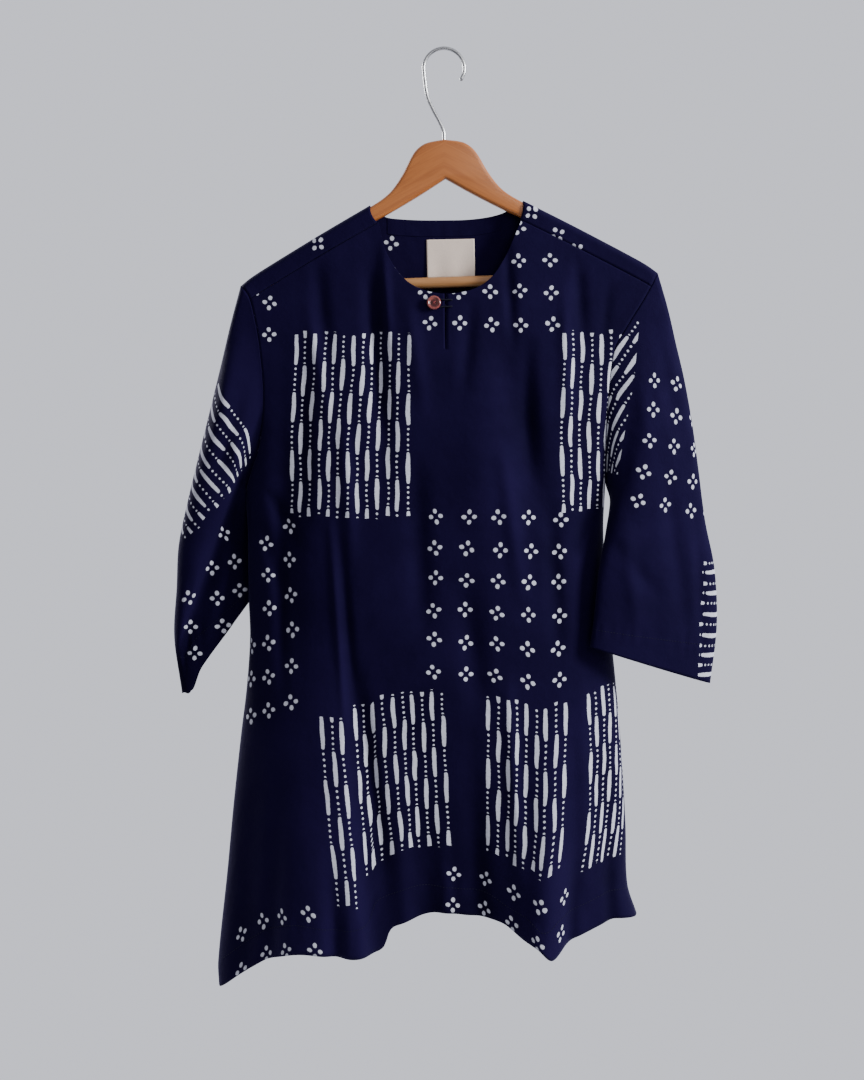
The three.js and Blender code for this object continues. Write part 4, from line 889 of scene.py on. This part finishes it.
BACK_PRINT = [
    ("floret", -190, 248, 0, 3, 2, 33.6, 31), ("floret", -56, 208, 0, 1, 2, 33.6, 30),
    ("floret", 84, 230, 0, 4, 3, 33.6, 32), ("dash", -170, 330, 0.6, 15, 186, 10.6, 33),
    ("dash", 92, 336, -0.4, 8, 186, 10.6, 34), ("floret", 4, 372, 0, 3, 4, 33.2, 35),
    ("floret", -176, 560, 0, 5, 4, 33.8, 36), ("dash", 6, 560, 0.4, 14, 190, 10.6, 37),
    ("dash", -182, 724, -1, 11, 164, 10.6, 38), ("floret", -26, 776, 0, 7, 4, 33.8, 39),
]
YOKE_PRINT = [
    ("floret", 95, 177, 0, 1, 1, 33.6, 41), ("floret", 121, 200, 0, 1, 1, 33.6, 42),
    ("floret", 143, 217, 0, 1, 1, 33.6, 43), ("floret", -135, 211, 0, 1, 1, 33.6, 44),
]
LEFT_SLEEVE_PRINT = [
    ("dash", -351, 458, -33, 13, 95, 11.4, 51), ("floret", -231.6, 522, 0, 1, 5, 31, 52),
    ("floret", -250, 560, 0, 1, 4, 31, 53), ("floret", -279, 591, 0, 1, 3, 31, 54),
]
RIGHT_SLEEVE_PRINT = [
    ("dash", 180, 258, 27, 14, 190, 9.5, 61, (150, 264, 250, 416)),
    ("floret", 230, 358, 0, 5, 5, 32.4, 62), ("dash", 277, 672, -95.5, 12, 100, 10.8, 64),
]

# ---------------------------------------------------------------- the cloth pieces

def placed(table, across_along):
    """The print table with each first motif in fabric coordinates."""
    made = []
    for kind, x, drop, *rest in table:
        across, along = across_along(x, drop)
        made.append((kind, float(across), float(along), *rest))
    return made


def on_face(face):
    return lambda x, drop: (fabric_u(face, x, drop), fabric_v(face, x, drop))


def on_sleeve(sleeve):
    return lambda x, drop: grain(sleeve, x, drop)


front = build_front()
back = build_back()
sleeve_left = build_sleeve("left_sleeve_cloth", LEFT_ARM)
sleeve_right = build_sleeve("right_sleeve_cloth", RIGHT_ARM)
for piece, look in (
        (front, cotton("cotton_front", placed(FRONT_PRINT, on_face(-1)))),
        (back, cotton("cotton_back", placed(BACK_PRINT, on_face(1)) + placed(
            YOKE_PRINT, lambda x, d: yoke_fabric(x, d - ridge_drop(x))))),
        (sleeve_left, cotton("cotton_left_sleeve", placed(LEFT_SLEEVE_PRINT, on_sleeve(LEFT_ARM)))),
        (sleeve_right, cotton("cotton_right_sleeve", placed(RIGHT_SLEEVE_PRINT, on_sleeve(RIGHT_ARM))))):
    piece.data.materials.append(look)
    give_wall(piece, WALL)

# ---------------------------------------------------------------- facing, label, button, loop


LABEL = {"x": 7, "drop": 203.5, "turn": -1.2, "size": (52, 41)}
PATCH_WALL = 0.35


def unit(v):
    return v / np.linalg.norm(v, axis=-1, keepdims=True)


def outward(face, x, drop, step=1.5):
    """Unit normal of a panel, pointing away from the hanger's plane."""
    across = on_panel(face, x + step, drop) - on_panel(face, x - step, drop)
    along = on_panel(face, x, drop + step) - on_panel(face, x, drop - step)
    normal = unit(np.cross(across, along))
    return normal * np.sign(normal[..., 1:2]) * face


def patch_inside_back(name, x, drop, lift, uv):
    """A patch of cloth against the inner face of the back."""
    points = on_panel(1, x, drop) - outward(1, x, drop) * (WALL + np.asarray(lift)[..., None])
    return grid_piece(name, points, uv)


def build_facing():
    rows, columns = 18, 120
    edge = curve(BACK_NECK)
    x = np.broadcast_to(np.linspace(-62, 62, columns), (rows, columns))
    down = np.linspace(0.6, 17.8, rows)[:, None]
    drop = edge(x) + down
    lift = 0.2 + 0.15 * np.sin(x / 3.1 + np.sin(x / 11)) * smooth(down / 17)
    return patch_inside_back("neck_facing", x, drop, lift, np.stack([x, down + 0 * x], axis=-1))


def build_label():
    rows, columns = 30, 36
    wide, deep = LABEL["size"]
    across, down = np.meshgrid(np.linspace(-wide / 2, wide / 2, columns), np.linspace(0, deep, rows))
    turn = math.radians(LABEL["turn"])
    x = LABEL["x"] + across * math.cos(turn) - down * math.sin(turn)
    drop = LABEL["drop"] + across * math.sin(turn) + down * math.cos(turn)
    free = smooth(down / deep)
    lift = 0.9 + free * (0.5 * np.sin(across / 9 + 0.6) + 0.9) + 0.25 * np.cos(across / 4.1) * free
    return patch_inside_back("label_patch", x, drop, lift, np.stack([across, down], axis=-1))


facing, label = build_facing(), build_label()
give_wall(facing, PATCH_WALL)
give_wall(label, PATCH_WALL)


def seat(x, drop, lift):
    """A place at a height over the front, and the front's normal there."""
    normal = outward(-1, np.array(float(x)), np.array(float(drop)))
    return on_panel(-1, float(x), float(drop)) + normal * lift, normal


def tube(name, points, radius, sides=10, samples=0):
    """A closed round wire along a line of points in mm."""
    line = resampled(points, samples) if samples else np.array(points, float)
    ahead = unit(np.gradient(line, axis=0))
    side = np.cross(ahead, [0, 1, 0])
    if np.min(np.linalg.norm(side, axis=1)) < 0.2:
        side = np.cross(ahead, [0, 0, 1])
    side = unit(side)
    up = np.cross(side, ahead)
    bm = bmesh.new()
    rings = []
    last = len(line) - 1
    stations = [(0, 0.35), (0, 0.8)] + [(i, 1.0) for i in range(last + 1)] + [(last, 0.8), (last, 0.35)]
    for k, (i, size) in enumerate(stations):
        offset = 0.0
        if size < 1:
            offset = radius * math.sqrt(1 - size * size) * (-1 if k < 2 else 1)
        ring = []
        for s in range(sides):
            turn = 2 * math.pi * s / sides
            outwards = side[i] * math.cos(turn) + up[i] * math.sin(turn)
            spot = line[i] + ahead[i] * offset + outwards * radius * size
            ring.append(bm.verts.new(spot * MM))
        rings.append(ring)
    for a, b in zip(rings, rings[1:]):
        for s in range(sides):
            bm.faces.new((a[s], b[s], b[(s + 1) % sides], a[(s + 1) % sides]))
    bm.faces.new(rings[0])
    bm.faces.new(reversed(rings[-1]))
    bmesh.ops.recalc_face_normals(bm, faces=bm.faces)
    return finish_mesh(name, bm)


BUTTON = (-11, 275)
BUTTON_PROFILE = [
    (0.001, 0.2), (4, 0.2), (4, 2.3), (6.3, 2.5), (7.1, 2.9), (7.5, 3.6), (7.5, 4.5), (7.2, 5.1),
    (6.7, 5.5), (6.2, 5.6), (5.7, 5.4), (5.2, 4.9), (4.6, 4.5), (3.4, 4.3), (0.001, 4.25),
]
BUTTON_THREADS = [(-1.5, -1.5, 1.5, 1.5), (-1.5, 1.5, 1.5, -1.5), (-1.2, -1.7, 1.8, 1.2)]


def build_button():
    place, normal = seat(*BUTTON, 0.35)
    bm = bmesh.new()
    sides = 72
    turns = [2 * math.pi * s / sides for s in range(sides)]
    rings = [[bm.verts.new(Vector((r * math.cos(t), r * math.sin(t), h)) * MM) for t in turns]
             for r, h in resampled(BUTTON_PROFILE, 60)]
    for a, b in zip(rings, rings[1:]):
        for s in range(sides):
            bm.faces.new((a[s], a[(s + 1) % sides], b[(s + 1) % sides], b[s]))
    bmesh.ops.remove_doubles(bm, verts=bm.verts, dist=5e-6)
    turn = Vector((0, 0, 1)).rotation_difference(Vector(normal)).to_matrix().to_4x4()
    bm.transform(Matrix.Translation(Vector(place * MM)) @ turn)
    bmesh.ops.recalc_face_normals(bm, faces=bm.faces)
    return finish_mesh("shirt_button", bm), place, turn


button, button_place, button_turn = build_button()


def build_button_thread():
    pieces = []
    for k, (ax, ay, bx, by) in enumerate(BUTTON_THREADS):
        local = [(ax, ay, 3.9), (ax, ay, 4.5), (0, 0, 5.0 + 0.15 * k), (bx, by, 4.5), (bx, by, 3.9)]
        world = [np.array(button_turn @ Vector(p)) + button_place for p in local]
        pieces.append(tube(f"button_thread_{k}", world, 0.28, 8, 14))
    return pieces


def build_loop():
    reach = 5.4
    turns = [math.radians(a) for a in range(60, 301, 30)]
    route = [(8, 271.5), (4, 271.2), (1, 271.4)]
    route += [(BUTTON[0] + reach * math.cos(t), BUTTON[1] - reach * math.sin(t)) for t in turns]
    route += [(1, 278.6), (4, 278.8), (8, 278.4)]
    return tube("thread_loop", [seat(x, drop, 1.5)[0] for x, drop in route], 0.85, 12, 70)


threads = build_button_thread()
loop = build_loop()

# ---------------------------------------------------------------- hanger

CROWN_TOP = [
    (0, 97), (20, 100.5), (30, 107), (36, 115), (47, 135), (61, 153),
]
ARM_UNDERSIDE = [
    (0, 139.5), (30, 157.5), (60, 174), (78, 183), (125, 209), (162, 230), (177, 239),
]
ARM_TOE = [(184, 245), (184, 262), (190, 268), (201, 266), (208, 256), (209, 244)]
ARM_END = 203
HOOK_STEM = [(0, 100), (0, 96.6), (-0.5, 88), (-5, 77), (-12, 64), (-18.5, 48)]
HOOK_RADIUS, WIRE_RADIUS = 22, 2
HOOK_TIP_ANGLE = -32
BAR_DROP, BAR_REACH, BAR_RADIUS = 251, 183.6, 6
ARM_FLAT, ARM_ROUND = 2.2, 3.8      # half the arms' thickness: its flat part and its rounded edge


def build_arms():
    tops = CROWN_TOP + [(out, drop + 2.2) for out, drop in SHOULDER_RIDGE if out <= ARM_END]
    top_at, under_at = curve(tops), curve(ARM_UNDERSIDE)
    out = np.linspace(0, ARM_END, 90)
    half = list(zip(out, top_at(out)))
    toe = resampled([(ARM_END, float(top_at(ARM_END)))] + ARM_TOE[::-1] + [ARM_UNDERSIDE[-1]], 40)[1:-1]
    half += [tuple(p) for p in toe]
    under = np.linspace(ARM_UNDERSIDE[-1][0], 0, 60)
    half += list(zip(under, under_at(under)))
    outline = half + [(-x, drop) for x, drop in half[1:-1][::-1]]
    shape = bpy.data.curves.new("arms_outline", "CURVE")
    shape.dimensions = "2D"
    shape.fill_mode = "BOTH"
    shape.extrude = ARM_FLAT * MM
    shape.bevel_depth = ARM_ROUND * MM
    shape.bevel_resolution = 5
    shape.offset = -ARM_ROUND * MM
    spline = shape.splines.new("POLY")
    spline.points.add(len(outline) - 1)
    for point, (x, drop) in zip(spline.points, outline):
        tx, td = tilted(x, drop)
        point.co = (tx * MM, -td * MM, 0, 1)
    spline.use_cyclic_u = True
    holder = in_scene("arms_outline", shape)
    graph = bpy.context.evaluated_depsgraph_get()
    mesh = bpy.data.meshes.new_from_object(holder.evaluated_get(graph))
    bpy.data.objects.remove(holder)
    mesh.transform(Matrix.Rotation(math.pi / 2, 4, "X"))
    bm = bmesh.new()
    bm.from_mesh(mesh)
    bmesh.ops.remove_doubles(bm, verts=bm.verts, dist=1e-6)
    bmesh.ops.recalc_face_normals(bm, faces=bm.faces)
    piece = finish_mesh("wooden_arms", bm)
    piece.data.materials.clear()
    return piece


def build_bar():
    ends = [tilted(x, BAR_DROP) for x in np.linspace(-BAR_REACH, BAR_REACH, 9)]
    return tube("trouser_bar", [(x, 0, -drop) for x, drop in ends], BAR_RADIUS, 40, 60)


def build_hook():
    points = [(x, 0, -drop) for x, drop in HOOK_STEM]
    centre = WIRE_RADIUS - HOOK_RADIUS
    for turn in np.radians(np.linspace(190, HOOK_TIP_ANGLE, 12)):
        points.append((HOOK_RADIUS * math.cos(turn), 0, HOOK_RADIUS * math.sin(turn) + centre))
    return tube("steel_hook", points, WIRE_RADIUS, 20, 140)


arms, bar, hook = build_arms(), build_bar(), build_hook()

# ---------------------------------------------------------------- plain materials


def object_position(g):
    return g.scale(g.add("ShaderNodeTexCoord", {}, "Object"), 1000.0)


def wood(name, light, dark, along, roughness):
    look, g, shader = material_base(name, roughness, Coat_Weight=0.25, Coat_Roughness=0.22)
    x, y, z = g.split(object_position(g))
    x = g.math("ABSOLUTE", x)
    c, s = math.cos(math.radians(along)), math.sin(math.radians(along))
    run, rise = x * c + z * -s, x * s + z * c
    waves = g.noise(g.join(run * 0.05, y * 0.6, rise), 0.11, 4.0, 0.6)
    rings = g.math("SINE", waves.scaled(26.0, rise * 0.25))
    fibres = g.noise(g.join(run * 0.03, y, rise), 1.6, 3.0, 0.6)
    tone = rings.scaled(0.22, fibres.scaled(0.9, 0.05), clamp=True)
    g.put(shader.inputs["Base Color"], g.mix(tone, light, dark))
    bump(g, shader, fibres, 0.12, 0.0003)
    return look


def plain_cloth(name, colour, second, scale, roughness, strength):
    look, g, shader = material_base(name, roughness, Sheen_Weight=0.15, Sheen_Roughness=0.4)
    weave = g.group(WEAVE, Fabric=g.scale(fabric_position(g), scale))
    g.put(shader.inputs["Base Color"], g.mix(g.ramp(weave, 0.5, 1.6), colour, second))
    bump(g, shader, weave, strength, 0.0004)
    return look


def gloss():
    """Red button material, darkest in the hollow round the holes."""
    look, g, shader = material_base("button_gloss", 0.18, Coat_Weight=0.5, Coat_Roughness=0.06)
    place = object_position(g)
    x, _, z = g.split(place)
    from_middle = apart(g, x - float(button_place[0]), z - float(button_place[2]))
    tone = g.mix(g.ramp(g.noise(place, 0.3, 3.0), 0.3, 0.7), (0.15, 0.022, 0.022, 1), (0.26, 0.06, 0.045, 1))
    hollow = g.mix(g.ramp(from_middle, 3.0, 5.6), (0.045, 0.004, 0.005, 1), tone)
    g.put(shader.inputs["Base Color"], hollow)
    return look


def steel():
    look, g, shader = material_base("hook_steel", 0.3, Metallic=1.0)
    dull = g.noise(object_position(g), 0.4, 3.0)
    g.put(shader.inputs["Base Color"], g.mix(dull, (0.32, 0.32, 0.33, 1), (0.6, 0.6, 0.6, 1)))
    g.put(shader.inputs["Roughness"], dull.scaled(0.25, 0.18))
    return look


def thread_look(name, colour):
    look, g, shader = material_base(name, 0.7, Specular_IOR_Level=0.2)
    ply = g.noise(object_position(g), 1.8)
    lighter = tuple(min(1, c * 1.8) for c in colour[:3]) + (1,)
    g.put(shader.inputs["Base Color"], g.mix(ply, colour, lighter))
    bump(g, shader, ply, 0.4, 0.0002)
    return look


facing.data.materials.append(cotton("cotton_facing", []))
label.data.materials.append(
    plain_cloth("label_satin", (0.66, 0.53, 0.44, 1), (0.78, 0.66, 0.57, 1), 1.4, 0.5, 0.25))
button.data.materials.append(gloss())
navy_thread = thread_look("navy_thread", (0.0022, 0.0018, 0.010, 1))
loop.data.materials.append(thread_look("loop_cord", (0.0015, 0.0012, 0.007, 1)))
yarn = thread_look("button_thread_yarn", (0.16, 0.03, 0.03, 1))
for piece in threads:
    piece.data.materials.append(yarn)
arms.data.materials.append(wood("arms_wood", (0.41, 0.132, 0.028, 1), (0.28, 0.078, 0.013, 1), 28, 0.36))
bar.data.materials.append(wood("bar_wood", (0.42, 0.205, 0.076, 1), (0.30, 0.130, 0.040, 1), 0, 0.42))
hook.data.materials.append(steel())

# ---------------------------------------------------------------- stitches


def stitch_tree():
    """Geometry nodes: short stitches laid along a line at even steps."""
    tree = bpy.data.node_groups.new("stitches_along_line", "GeometryNodeTree")
    add = tree.interface.new_socket
    add("Line", in_out="INPUT", socket_type="NodeSocketGeometry")
    for label, metres in (("Stitch Step", 0.0032), ("Stitch Length", 0.0022), ("Thread Width", 0.0005)):
        add(label, in_out="INPUT", socket_type="NodeSocketFloat").default_value = metres
    add("Thread Material", in_out="INPUT", socket_type="NodeSocketMaterial")
    add("Stitches", in_out="OUTPUT", socket_type="NodeSocketGeometry")
    g = Graph(tree)
    given = tree.nodes.new("NodeGroupInput").outputs
    line, step, stitch_length, width, look = [Value(g, given[k]) for k in range(5)]
    curve_line = g.add("GeometryNodeMeshToCurve", {0: line})
    spaced = g.add("GeometryNodeResampleCurve", {"Curve": curve_line, "Length": step}, mode="LENGTH")
    tangent = g.add("GeometryNodeInputTangent", {})
    turn = g.add("FunctionNodeAlignEulerToVector", {"Vector": tangent}, axis="X")
    ball = g.add("GeometryNodeMeshUVSphere", {"Segments": 6, "Rings": 4, "Radius": 0.5}, "Mesh")
    laid = g.add("GeometryNodeInstanceOnPoints", {
        "Points": spaced, "Rotation": turn, "Instance": ball, "Scale": g.join(stitch_length, width, width)})
    real = g.add("GeometryNodeRealizeInstances", {0: laid})
    painted = g.add("GeometryNodeSetMaterial", {"Geometry": real, "Material": look})
    g.put(tree.nodes.new("NodeGroupOutput").inputs[0], painted)
    return tree


STITCHES = stitch_tree()


def sew(name, points, look):
    """A row of stitches along a line of points in mm, as a finished mesh."""
    bm = bmesh.new()
    verts = [bm.verts.new(p * MM) for p in points]
    for a, b in zip(verts, verts[1:]):
        bm.edges.new((a, b))
    mesh = bpy.data.meshes.new(name + "_line")
    bm.to_mesh(mesh)
    bm.free()
    holder = in_scene(name + "_line", mesh)
    nodes = holder.modifiers.new("stitches", "NODES")
    nodes.node_group = STITCHES
    for item in STITCHES.interface.items_tree:
        if item.in_out == "INPUT" and item.name == "Thread Material":
            nodes[item.identifier] = look
    graph = bpy.context.evaluated_depsgraph_get()
    graph.update()
    done = bpy.data.meshes.new_from_object(holder.evaluated_get(graph))
    done.name = name
    bpy.data.objects.remove(holder)
    done.shade_smooth()
    return in_scene(name, done)


def hem_line(face):
    ends = (LEFT["x_at"](940) + 4, RIGHT["x_at"](900) - 4)
    x = np.linspace(float(ends[0]), float(ends[1]), 260)
    drop = hem_at[face](x) - HEM_TURN
    return on_panel(face, x, drop) + np.array([0, face * 0.1, 0])


def cuff_line(sleeve):
    rows = sleeve["rows"]
    length = math.hypot(rows[-1][1] - rows[0][1], rows[-1][2] - rows[0][2])
    angle = np.linspace(0, 360, 241) - 180
    ring = sleeve_ring(sleeve, 1 - HEM_TURN / length, angle)
    return ring + np.sign(np.sin(np.radians(angle)))[:, None] * np.array([0, -0.1, 0])


sewn = [sew(name, line, navy_thread) for name, line in (
    ("front_hem_stitches", hem_line(-1)), ("back_hem_stitches", hem_line(1)),
    ("left_cuff_stitches", cuff_line(LEFT_ARM)), ("right_cuff_stitches", cuff_line(RIGHT_ARM)))]

# ---------------------------------------------------------------- what rides on what

IN_THE_FRAME = (
    (front, "front", "cloth"), (back, "back", "cloth"), (sleeve_left, "sleeve_left", "cloth"),
    (sleeve_right, "sleeve_right", "cloth"), (facing, "back_neck_facing", "cloth"),
    (label, "neck_label", "label"), (button, "button", "button"), (loop, "button_loop", "cloth"),
    (arms, "hanger_arms", "wood"), (bar, "hanger_bar", "bar_wood"), (hook, "hanger_hook", "steel"))
for piece in [row[0] for row in IN_THE_FRAME] + threads + sewn:
    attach(piece, "root")
for piece, node, slot in IN_THE_FRAME:
    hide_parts(node)

# ---------------------------------------------------------------- room, light, camera


def paper(name, colour, roughness):
    look, g, shader = material_base(name, roughness)
    darker = tuple(c * 0.96 for c in colour[:3]) + (1,)
    g.put(shader.inputs["Base Color"], g.mix(g.noise(object_position(g), 0.02), colour, darker))
    return look


floor_bm = bmesh.new()
bmesh.ops.create_circle(floor_bm, cap_ends=True, segments=96, radius=1.3)
bmesh.ops.translate(floor_bm, verts=floor_bm.verts, vec=(0, 0.1, -1.95))
floor = finish_mesh("floor", floor_bm)
floor.data.materials.append(paper("pale_floor", (0.6, 0.61, 0.64, 1), 0.9))

world = bpy.data.worlds.new("studio")
bpy.context.scene.world = world
world.use_nodes = True
sky = world.node_tree.nodes["Background"]
sky.inputs["Color"].default_value = (0.549, 0.559, 0.622, 1)
air = Graph(world.node_tree)
toward_x, toward_y, toward_z = air.split(air.add("ShaderNodeTexCoord", {}, "Generated"))
low_side = air.ramp(toward_x * 0.6 + toward_y * 0.8, -0.7, 0.3, 0.42, 1.0)
overhead = air.ramp(toward_z, 0.35, 0.6, 1.0, 1.25)
underneath = air.ramp(toward_z, -0.65, -0.47, 0.3, 1.0)
air.put(sky.inputs["Strength"], low_side * overhead * (underneath * 1.51))


def soft_light(name, place, size, power, colour):
    """An area light that looks at the middle of the cloth."""
    data = bpy.data.lights.new(name, "AREA")
    data.shape = "RECTANGLE"
    data.size, data.size_y = size
    data.energy = power
    data.color = colour
    lamp = in_scene(name, data)
    lamp.location = place
    lamp.rotation_euler = (Vector((0, 0, -0.5)) - Vector(place)).to_track_quat("-Z", "Y").to_euler()


for name, place, size, power, colour in (
        ("key", (2.2, -0.95, 0.45), (0.6, 0.8), 108, (0.95, 0.98, 1.0)),
        ("front", (0.9, -2.2, 0.5), (1.0, 1.0), 12, (1.0, 0.98, 0.95)),
        ("behind", (-1.9, 1.3, 0.4), (0.8, 1.0), 60, (1, 1, 1))):
    soft_light(name, place, size, power, colour)

DISTANCE = 1.6
EYE = (-0.013, -DISTANCE, -0.378)
FRAME_HEIGHT = 1.1664
camera_data = bpy.data.cameras.new("camera")
camera_data.sensor_fit = "VERTICAL"
camera_data.sensor_height = 36
camera_data.sensor_width = 36
camera_data.lens = 36 * DISTANCE / FRAME_HEIGHT
camera_data.shift_y = -(0.5292 - 0.378) / FRAME_HEIGHT
camera = in_scene("camera", camera_data)
camera.location = EYE
camera.rotation_euler = (math.pi / 2, 0, 0)
bpy.context.scene.camera = camera
